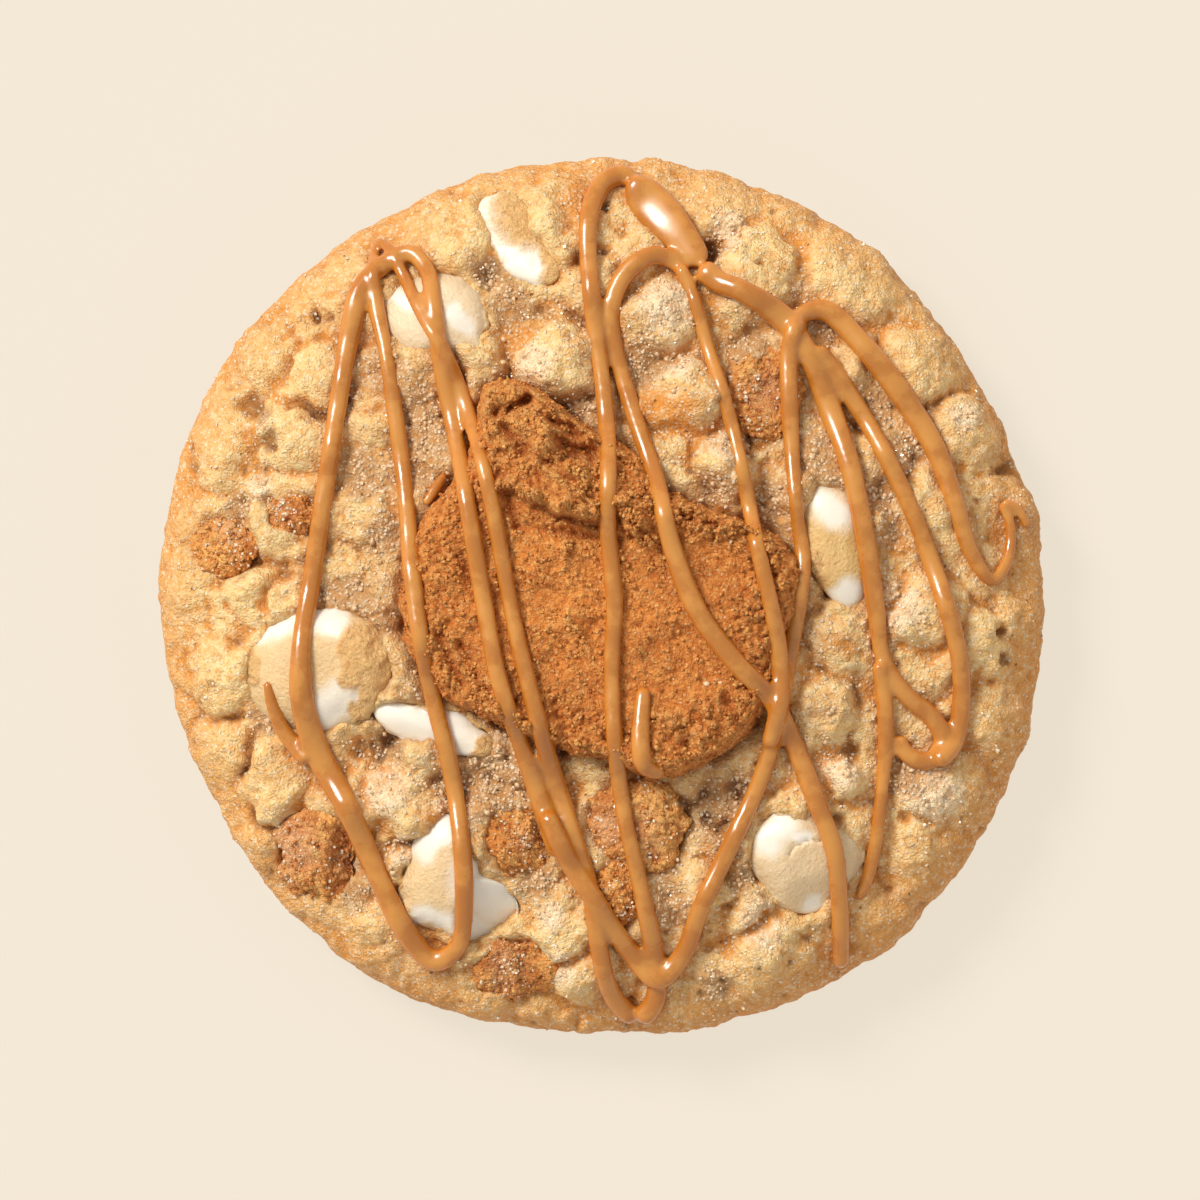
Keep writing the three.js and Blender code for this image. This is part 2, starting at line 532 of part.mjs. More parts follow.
// The whole drizzle, each strand laid over the cookie and over the strands before it.
function drizzleOver(geometries) {
  const target = (geometry) => new THREE.Mesh(
    geometry, new THREE.MeshBasicMaterial({ side: THREE.DoubleSide }));
  const support = geometries.map(target);
  const laid = [];
  for (const points of Object.values(strands)) {
    laid.push(target(strandForm(points, support, laid)));
  }
  return laid.map((mesh) => toSolid(mesh.geometry)).reduce((a, b) => a.add(b));
}

const drizzle = drizzleOver([dough, ...pieces.map((piece) => piece.geometry)]);

// Over a piece the drizzle is part of the piece, and everywhere else it is part of the dough.
const cookie = new THREE.Group();
let doughSolid = toSolid(dough).add(drizzle);
for (const piece of pieces) {
  piece.geometry.computeBoundingBox();
  const bottom = piece.geometry.boundingBox.min.z - seatGap;
  const over = drizzle.intersect(blockOver(piece, bottom, 0));
  const solid = mainBody(toSolid(piece.geometry).add(over));
  doughSolid = doughSolid.subtract(blockOver(piece, bottom, seatGap));
  cookie.add(meshOf(piece.name, toGeometry(solid), piece.colour, piece.roughness));
}
cookie.add(meshOf('dough', toGeometry(mainBody(doughSolid)), doughColour, 0.8));

export default cookie;
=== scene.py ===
"""The looks of a thick soft cookie with a broken speculoos biscuit, white chocolate chips, smaller
biscuit chunks and a caramel drizzle. Laid out as an add-on and run as a script.

Places in the lists are in millimetres from the middle of the cookie's underside: +X to the right,
+Y to the far side where the drizzle's fat pool lies, +Z up. Meshes are in metres.
"""
import json
import math
from contextlib import contextmanager

import bmesh
import bpy
import numpy as np
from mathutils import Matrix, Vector
from mathutils.bvhtree import BVHTree
from mathutils.kdtree import KDTree

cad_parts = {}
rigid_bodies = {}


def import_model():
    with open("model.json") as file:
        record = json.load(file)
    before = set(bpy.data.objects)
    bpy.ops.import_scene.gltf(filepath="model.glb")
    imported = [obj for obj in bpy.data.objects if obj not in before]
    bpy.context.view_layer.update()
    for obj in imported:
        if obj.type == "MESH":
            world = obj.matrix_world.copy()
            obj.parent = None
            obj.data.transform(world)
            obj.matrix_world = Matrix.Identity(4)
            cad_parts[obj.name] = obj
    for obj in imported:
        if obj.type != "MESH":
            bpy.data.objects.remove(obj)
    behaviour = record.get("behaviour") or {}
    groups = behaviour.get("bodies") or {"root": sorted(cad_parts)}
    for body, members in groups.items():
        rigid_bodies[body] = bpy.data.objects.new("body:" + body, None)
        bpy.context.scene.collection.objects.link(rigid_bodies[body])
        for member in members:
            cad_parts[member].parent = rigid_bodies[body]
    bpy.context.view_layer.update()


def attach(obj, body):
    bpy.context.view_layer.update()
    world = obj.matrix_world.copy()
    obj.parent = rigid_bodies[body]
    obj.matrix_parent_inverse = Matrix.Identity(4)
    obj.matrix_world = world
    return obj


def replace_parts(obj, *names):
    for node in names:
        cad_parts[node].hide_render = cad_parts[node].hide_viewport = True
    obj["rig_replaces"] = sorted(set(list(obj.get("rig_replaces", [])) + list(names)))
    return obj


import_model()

bl_info = {
    "name": "Speculoos cookie",
    "version": (1, 0, 0),
    "blender": (4, 5, 0),
    "location": "3D View > Sidebar > Cookie",
    "description": "Models a soft cookie with biscuit, white chocolate and caramel drizzle",
    "category": "Add Mesh",
}

MM = 0.001
PER_MM = 1000.0
FULL_TURN = 2 * math.pi

# The dough's outline: [angle in degrees, radius].
DOUGH_OUTLINE = [
    [0, 50], [30, 49.2], [60, 49.4], [90, 49.3], [120, 49.3], [150, 49.9],
    [180, 49.7], [210, 49.2], [240, 50.2], [270, 49.2], [305, 51.1], [330, 50.8],
]

# The big biscuit's broken outline about its centre.
BISCUIT_OUTLINE = [
    [10, 22], [34, 15.6], [58, 13.2], [78, 15.8], [93, 17.9], [103, 21.5], [111, 25], [119, 26.2],
    [128, 22.5], [140, 20.5], [160, 21.4], [189, 22.6], [209, 21.5], [230, 19], [256, 18.5],
    [273, 19.3], [289, 22.2], [305, 22.7], [319, 23], [345, 21.2],
]
BISCUIT_CENTRE = (0, 0.7)

# Lumps of dough that stand out: [x, y, radius, height].
LUMPS = [
    [-43, 16, 4, 1.2], [-33.5, 17.5, 4.5, 1.5], [-38.5, 27.5, 3.5, 1], [-32, 24.5, 3.5, 1],
    [-24.5, 18.5, 3, 0.8], [-29, 34.5, 5, 0.6], [-17, 41.5, 5.5, 1], [-6.5, 42, 6.5, 1.2],
    [-5, 25.5, 5, 1.8], [-38.5, 0.5, 4, 1.2], [-47, 2, 3.5, 0.6], [-26, 9.5, 3.5, 0.8],
    [-43, -9.5, 4.5, 1], [-35.5, -0.5, 3, 0.8], [-26.5, 0.5, 4, 0.4], [5.5, 31, 5, 1.4],
    [4, 38.5, 3.5, 0.6], [17, 35.5, 6, 1.4], [10, 22, 5, 1.8], [13.5, 14, 4, 2],
    [28, 36.5, 6.5, 1.2], [36, 25.5, 5, 1.2], [41, 18.5, 4, 0.9], [13.5, 44.5, 4.5, 0.7],
    [36.5, -1.5, 4.5, 1.3], [42, -6, 4.5, 1], [47, -2.5, 3.5, 0.6], [-42.5, -17, 4, 1],
    [-36.5, -21, 4.5, 1.2], [-39, -28, 3.5, 0.8], [-21.5, -23, 5, 1.2], [-25, -38, 4.5, 1],
    [-19, -18.5, 3.5, 0.6], [-4.5, -37, 4, 1], [-2, -42.5, 4, 1], [-13.5, -45, 4, 0.8],
    [19, -41, 5.5, 1.8], [27.5, -20.5, 3, 1.2], [25, -12.5, 4.5, 1.2], [26.5, -6, 3.5, 0.8],
    [39, -23, 6, 1.2], [37, -29.5, 5, 1.2], [32.5, -37.5, 5, 1], [12, -34, 4, 1],
    [6.5, -35.5, 3, 0.6], [15.5, -35, 3.5, 0.6], [45, -15, 4.5, 0.8],
]

# Dark valleys and holes in the dough: [x, y, radius, depth].
HOLLOWS = [
    [-26, -16.5, 3, 2.2], [10, -23, 4.5, 1.6], [-11, 26.5, 3.5, 1.4], [6, 27, 3.5, 1.4],
    [16, 28, 3, 1.8], [24, 22.5, 3, 1.6], [-28, -0.5, 3.5, 1], [-41, 5.5, 4.5, 1.2],
    [12.5, 39.5, 1.6, 1.2], [46, 14.5, 2, 0.8], [45.5, 6.5, 2, 1], [-3, -23, 3.5, 1.2],
    [-9, -34.5, 3, 1.2], [30, -11.5, 2, 1], [29, 19.5, 2.5, 1.4], [29.5, 4, 2, 0.8],
]

# Small dark pits in the crust: [x, y, radius, depth].
PITS = [
    [-31.7, 31.2, 0.8, 1.3], [-39.2, 21.6, 1.3, 1.2], [-37.2, 17, 1, 0.9], [45.9, 14.6, 1.2, 1.2],
    [12.5, 39.2, 1.3, 1.2], [28, -17.5, 1.1, 1.1], [26.6, -24.8, 1.3, 1], [12.7, -25.6, 0.9, 1.2],
    [44.6, -4, 0.7, 0.9], [44.9, -7, 0.6, 0.8], [-23.8, -15.9, 1.2, 1.3], [-36.8, 10.4, 1.1, 1.1],
    [0.5, 43.5, 0.8, 0.6], [15, -21.8, 1, 0.9], [-12.5, 36.2, 1.6, 0.8], [18, 36.8, 0.5, 0.5],
]

# Tints of the dough, each a list of soft round patches: [x, y, radius].
WET_PATCHES = [
    [-28, -0.5, 3.6], [4.5, 26.4, 3], [-19, 18.5, 4.2], [-12.9, 36.3, 2], [-10, 33.1, 2.6],
    [-24, 25, 2.6], [-19, 20.8, 2.8], [-26.3, 12.4, 2.4], [-24, 6.8, 2.6], [-27.4, 15.2, 2],
    [-37.5, 20, 1.2], [-40.9, 10.2, 1.8], [17, 28.1, 2.6], [24, 15.8, 3.2], [31, 21.2, 2.2],
    [33.8, 16.3, 2.6], [31, 10.8, 2.4], [32.5, 6.6, 1.6], [12.9, 12.2, 2], [19, 10.8, 2.6],
    [25.2, 30.1, 2], [-19.4, 19.3, 2.6], [-1.9, 21.4, 2.4], [-10.4, -18.4, 2.8],
    [-37.5, -13.9, 2], [-25, -2.7, 2.6], [-23.5, -16.3, 2.4], [-12, -22.3, 3], [-27.4, -33.5, 2],
    [-7.3, -32, 2.6], [12.9, -25.4, 3.2], [15, -22.3, 2.6], [16, -31, 2], [8, -34.8, 2.6],
    [12.9, -43.6, 2.2], [34, -20, 2.6], [-15.8, -20.6, 2.8], [-28.5, 23, 1.8], [7, -29, 2.6],
    [27, 12.5, 2.2], [22.5, 34.2, 1.6], [-21.5, 13.5, 2.6], [-24.5, -9.5, 1.6],
]
PALE_PATCHES = [
    [17.8, -36.3, 2.8], [26.5, -19.1, 2.6], [-4.6, -41.2, 2.2], [-5.4, -35.6, 1.6],
    [-24, -21.4, 3], [-11.5, -17.2, 2], [7.3, 32.6, 3.4], [8.6, 26.2, 2.2], [-7.3, 25.9, 2.6],
    [14.2, 40.8, 2.2], [40.3, 20, 1.8], [-38, 12.5, 1.6], [-16.2, -24.5, 3], [-34, -26, 2],
    [37, -22, 3.4], [33, -1, 3], [14.5, 17.5, 3], [-27.5, -30.5, 1.2], [-22, -28.4, 2],
]
GOLDEN_PATCHES = [
    [-9.5, 29.6, 1.6], [-21.3, 9.6, 1.6], [6.2, 21.2, 2.8], [33.6, 5.2, 1.8], [11.8, -28.2, 1],
    [27.4, -5.5, 1.8], [-7.8, -24.2, 1.6], [4.5, 19, 1.8], [-2, 44, 4], [9, 20.5, 2.4],
    [-18.5, -24.8, 1.6], [23.5, -8.5, 1.8], [13.5, 8.8, 1.6], [44.5, 20, 1.8], [-30, -44, 3],
]


def evenly(radii):
    """An outline from radii at equal angles from +X, counter-clockwise."""
    return [[360 * index / len(radii), radius] for index, radius in enumerate(radii)]


# White chocolate chips. Facets: [direction in degrees, fall in degrees, distance from the middle].
# White strokes are clean, toasted patches browned, coat strokes covered by dough. Strokes are
# [x, y, x, y, half width] and patches [x, y, radius, amount], both about the chip's middle.
CHIPS = [
    {"at": (-9.2, 40.1), "outline": evenly([3, 3.2, 4.6, 6, 3.4, 3.2, 4.4, 6.2]), "rise": 0.9,
     "drop": 3, "facets": [[40, 10, 0.6]], "cream": 0.2, "toasted": [],
     "white": [[-2.8, 5.4, -2.3, 0.6, 1.15], [-2.2, 0.2, 1.5, -2.9, 1.6]],
     "coat": [[1.8, 3.6, 1.8, 3.6, 4.6], [4.6, -1, 5.5, -5, 2.2], [-4, -1, -2.6, -4.4, 1.4]]},
    {"at": (-18.2, 31.5), "outline": [
        [0, 5.6], [45, 5], [90, 4.7], [135, 5.1], [180, 6.1], [225, 5.6], [270, 4.5], [300, 5.1],
        [318, 6.4], [335, 5.6]], "rise": 2.2,
     "drop": 4, "facets": [[-35, 24, 1.8], [160, 26, 2.6], [70, 20, 3]], "cream": 0.55,
     "toasted": [[3, 2.5, 2.4, 0.4], [-1, -3, 2.2, 0.5]],
     "white": [[-5.2, 2.6, -2.4, 1.2, 0.9], [1.6, 0.2, 3.6, -1.3, 1]], "coat": []},
    {"at": (-31.1, -8.1), "outline": evenly([8.5, 7.2, 6.8, 7.3, 8.6, 8.2, 7.3, 7.3]), "rise": 2.6,
     "drop": 5, "facets": [[-62, 34, 3.4], [135, 26, 4]], "cream": 0.8,
     "toasted": [[2, 0, 4, 0.7], [-4.5, -2.6, 3, 0.7]],
     "white": [[-6.3, 3.9, -3.2, 6, 1.3], [-1.5, 6, 1.4, 5.3, 1.7], [0, -5.4, 1.8, -3.2, 1.9]],
     "coat": [[4.6, 2.6, 7.4, 0.4, 2.6], [5.4, -2.6, 4.6, -4.6, 1.5], [3.4, 1.2, 3, -1.2, 1.2],
              [-8, 2.4, -8, -1, 0.9]]},
    {"at": (-18.7, -14.6), "outline": [
        [0, 4.9], [45, 2.8], [90, 2.5], [130, 3.6], [160, 7.2], [200, 3.8], [270, 2.1], [313, 4.4],
        [341, 7.2]], "rise": 1.2, "drop": 4, "facets": [[250, 30, 0.4], [65, 12, 0.8]],
     "cream": 0.35, "toasted": [[5.4, -1.4, 2, 0.5]],
     "white": [[-6.2, 2.3, -1, 0.4, 1.9], [-1, 0.2, 4.6, -0.2, 2.2], [3.4, -2.2, 3.6, -2.2, 1.2]],
     "coat": [[-4.4, 4, 1.6, 2.8, 1], [6.6, -1.6, 5.4, -3.6, 1.1]]},
    {"at": (-16.2, -32.4), "outline": [
        [20, 3.6], [45, 3.9], [70, 5.2], [98, 8], [130, 7.1], [153, 5.9], [185, 6.4], [211, 6.6],
        [251, 5.6], [282, 6.8], [318, 7.6], [335, 7.9], [350, 6.4]], "rise": 2.4,
     "drop": 5, "facets": [[-38, 36, 1.2], [150, 20, 3.2]], "cream": 0.75,
     "toasted": [[-3.4, 0.6, 3.2, 0.8]],
     "white": [[-3.4, 4.6, -1.1, 7.2, 1.7], [2.2, 0.2, 6, -3.2, 2.8], [2.4, -5, 3, -5.2, 1.6],
               [-4.2, -3.2, -1, -4, 1]], "coat": [[-6, -2.8, -5.6, -4.4, 0.7]]},
    {"at": (26.4, 5.7), "outline": [
        [0, 3.8], [45, 4.9], [90, 6.6], [114, 7], [150, 4.5], [200, 3.6], [248, 4.7], [286, 7.2],
        [318, 5.2]], "rise": 2,
     "drop": 4.5, "facets": [[8, 30, 1.4], [185, 28, 1.6], [270, 24, 3.4]], "cream": 0.95,
     "toasted": [[1.2, -0.8, 3, 0.6]],
     "white": [[-1.4, 4.8, 0.4, 3.4, 1.9], [0.6, -5.8, 2, -5, 1.4], [3, 2.2, 3.4, 0.4, 0.6]],
     "coat": [[-2.8, -1, -2.4, -2.6, 0.9]]},
    {"at": (22.8, -30.6), "outline": [
        [0, 6.4], [25, 7.3], [52, 6.5], [82, 6.8], [107, 7.1], [132, 7], [158, 6.5], [200, 5],
        [245, 4.9], [281, 5.3], [318, 4.9]], "rise": 2.2,
     "drop": 5, "facets": [[-75, 28, 1], [160, 20, 3]], "cream": 0.65,
     "toasted": [[0.6, -1.2, 2, 0.5], [5.8, 2.4, 1.8, 0.5]],
     "white": [[-4.2, 3.2, -2.2, 4.6, 1.7], [0.6, -4, 1.4, -4, 0.9], [-0.8, 3.6, 0.6, 3.9, 0.6]],
     "coat": [[-3.4, 7, 3.4, 6.8, 0.9]]},
]
CHIP_CRACK = [[-1.7, 1.5], [-1.2, 2.5], [0.4, 3.3], [2.1, 3.2]]

# Chunks of the same biscuit, broken small. Patches that are lighter, darker and sugared:
# [x, y, radius, amount]. The lighter and darker ones are partly the crumb's own tone and partly
# painted highlight on lit edges and painted shade on shaded faces.
CHUNKS = [
    {"at": (18.2, 22.6), "outline": evenly([4.2, 4.8, 5, 4.4, 3.8, 4.8, 5.4, 4.6]), "rise": 0.5,
     "drop": 4, "facets": [[200, 8, 0.5]], "bright": [[-2, 3, 1.6, 0.5], [1, -4.4, 1, 0.6]],
     "dark": [[0, -1, 4.2, 0.5], [3.6, 2, 1.6, 0.6]], "sugar": [[0.5, 0.5, 2.6, 0.45]]},
    {"at": (-42, 5.5), "outline": evenly([3.6, 3.2, 3, 3.4, 3.8, 3.4, 3.2, 3.6]), "rise": 0.7,
     "drop": 3, "facets": [], "bright": [[-1, 0, 2.2, 0.7]], "dark": [[2.4, -1, 1.6, 0.7]],
     "sugar": [[0.5, 2.4, 1.8, 0.7]]},
    {"at": (-34.7, 8.6), "outline": evenly([3.2, 2.8, 2.4, 2.6, 3, 2.6, 2.2, 2.6]), "rise": 0.6,
     "drop": 3, "facets": [], "bright": [[1.4, -1.2, 1.2, 0.5]], "dark": [[0, 0.4, 2, 0.75]],
     "sugar": [[-1.6, 1, 1.4, 0.6]]},
    # Its lighter patches follow the lit ridge line and its darker ones the shaded right facet:
    # painted highlight and painted shade.
    {"at": (-31.7, -28.7), "outline": evenly([4.6, 5.8, 5, 5.6, 4.8, 5.6, 5.2, 5.6]), "rise": 1.6,
     "drop": 4, "facets": [[-8, 38, 0.7], [172, 12, -0.4]],
     "bright": [[0.9, 4.6, 1.2, 0.9], [0.3, 1.8, 0.9, 0.9], [0.1, -0.6, 0.8, 0.9],
                [-0.2, -3.4, 0.9, 0.8]],
     "dark": [[3.4, 0, 2.8, 0.7], [2.6, -4, 1.6, 0.6]],
     "sugar": [[-3, 0.6, 3.2, 0.9], [3, -1.5, 1.4, 0.3]]},
    {"at": (-10, -28), "outline": evenly([4, 4.2, 3.8, 4.2, 3.5, 2.6, 3.4, 4]), "rise": 1.2,
     "drop": 3.5, "facets": [[135, 10, -1], [-50, 32, 0.6]],
     "bright": [[-2.6, -2.8, 1, 0.9], [0.6, -1.6, 1, 0.7], [3, -1, 1.2, 0.8], [2, 3, 1.6, 0.7]],
     "dark": [[-1.4, 1.2, 2, 0.35], [0, -3.4, 1.4, 0.6]], "sugar": [[1.4, 0.8, 1.4, 0.6]]},
    {"at": (3.6, -25.8), "outline": evenly([6.2, 5.8, 5.4, 5, 4.4, 4.4, 5, 6]), "rise": 1.6,
     "drop": 4, "facets": [[-60, 14, 2], [150, 26, 1.8]],
     "bright": [[3.4, 2.2, 3, 1], [4, -1.4, 2, 1], [1, -3.4, 1.8, 0.9], [-0.4, 2, 2, 0.8]],
     "dark": [[-3.6, 2.4, 1.8, 0.5], [0.6, -0.6, 1.3, 0.6], [2.6, -3.4, 0.8, 0.8]],
     "sugar": [[-2.6, 0, 2, 0.9], [1.6, 1, 2, 0.4], [2, -2, 1.6, 0.4]]},
    {"at": (1.8, -33.6), "outline": evenly([2.4, 2.8, 3.6, 3, 2.6, 3, 3.8, 2.8]), "rise": 1,
     "drop": 3, "facets": [[80, 14, 1]], "bright": [[-0.6, 0.6, 1.6, 0.5]],
     "dark": [[0.6, -1.6, 1.8, 0.4]], "sugar": []},
    {"at": (-9.7, -42), "outline": evenly([4.6, 3.8, 3.2, 3.8, 4.8, 3.8, 3, 3.6]), "rise": 0.7,
     "drop": 3, "facets": [], "bright": [[3, -0.4, 1.2, 0.6], [-3.4, -1, 0.8, 0.4]],
     "dark": [[-0.4, 3, 1.8, 0.9], [2, -1, 1.4, 0.8], [-3, 1, 1.6, 0.6]],
     "sugar": [[-0.6, 1, 1.8, 0.8], [-1.6, -1.8, 1.6, 0.5]]},
]

# Single large sugar crystals on the big biscuit: [x, y, size].
LARGE_CRYSTALS = [
    [11.9, -9.8, 0.9], [13.4, -9.7, 0.9], [10, -9, 0.5], [-11.5, 22, 0.5], [14.5, 6, 0.6],
]

# The big biscuit's top, in soft ridges: [x, y, x, y, half width, height]. First its broken ridge,
# its ledge and its raised near rim, then the crumbs along them, its cracks and the notches in it.
BISCUIT_RIDGES = [
    [-12, 22, -4, 13.5, 4, 2.2], [-4, 13.5, 3, 10.5, 2.6, 1.2], [-3, 11, 17, 7.5, 2.2, 1.2],
    [-19, -6, -11, -14, 2.4, 1], [-11, -14, 0, -18.5, 2.2, 0.9], [0, -18.5, 11, -19.5, 2.4, 1],
    [11, -19.5, 19, -12, 2.6, 0.7],
]
BISCUIT_CRESTS = [
    [-7.8, 23, -4.5, 21, 0.55, 0.9], [-4.5, 21, -0.6, 17.8, 0.55, 0.8],
    [-13, 22.6, -11.4, 24, 1.1, 0.7], [-6.2, 19, -6.8, 15.6, 1, 0.9],
    [-10.4, 12.6, -7.3, 11.2, 0.9, 0.8], [-7.3, 11.2, -4.5, 10.3, 0.9, 0.7],
    [-4.5, 10.3, -1.1, 9.2, 0.8, 0.9], [2.4, 10.6, 3.8, 8.4, 1.1, 0.9],
    [3.5, 7.4, 5.5, 6.2, 0.9, 0.6], [7, 11.8, 10.9, 11, 0.8, 0.7], [10.9, 11, 15, 9.2, 0.8, 0.8],
    [15, 9.2, 18.8, 5.4, 1.1, 0.6], [-4.4, 4.6, -4.2, 5.4, 1, 0.35],
    [-3.4, -2.4, -1.8, -6.4, 0.9, 0.45], [5.8, -12.8, 11.5, -15.8, 1.2, 0.5],
    [-12, -12, -8, -15.4, 1.1, 0.4],
]
BISCUIT_CRACKS = [
    [-3.4, 16.7, -1.2, 15.9, 1.2, 2.2], [9, 9.2, 12.6, 8.2, 0.45, 0.9],
    [-10.2, 20.6, -8.4, 22, 0.6, 1.7], [-7.3, 20, -5.6, 19.4, 0.45, 1.2],
    [-5.6, 19.4, -2, 18, 0.5, 1.2], [-10.2, 11.2, -4.2, 8.9, 0.4, 0.6],
    [-4.2, 8.9, -0.6, 7.8, 0.4, 0.6], [1.2, 9.6, 3, 6.6, 0.4, 0.6],
    [-8.8, 15.6, -8.4, 18, 0.7, 0.5], [10.8, -6.6, 12, -9, 0.8, 0.5],
]
BISCUIT_NOTCHES = [
    [-18, -4.5, -15.5, -9.5, 0.55, 1], [-15.5, -5.5, -12, -12, 0.55, 0.8],
    [-11.5, -8, -9.8, -14.5, 0.55, 0.7], [-5, -12, -3.2, -18.2, 0.55, 0.8],
    [9.2, -14.5, 10.5, -19.5, 0.55, 0.7], [14, -11, 16.5, -16, 0.55, 0.8],
    [-15.5, 4.5, -13.8, 0.5, 0.55, 0.6], [-11.2, 13.8, -9.2, 7.8, 0.55, 0.9],
    [-9.2, 7.8, 2, 6.2, 0.55, 0.7], [2.4, 9.8, 5.2, 6, 0.55, 0.8],
    [-11.6, 20.6, -8.8, 16.2, 0.55, 0.9], [-8, 16.6, -2.6, 12.6, 0.55, 1],
    [3.5, 12, 9.5, 10.8, 0.55, 0.6], [16.2, 7.6, 19.4, 2.4, 0.55, 0.7],
    [-3, -6, -0.5, -11, 0.55, 0.4],
]

# Where the biscuit is darker: [x, y, radius, amount].
BISCUIT_DARKER_PATCHES = [[12, 2, 5, 0.9], [-8, 19, 3, 0.4]]

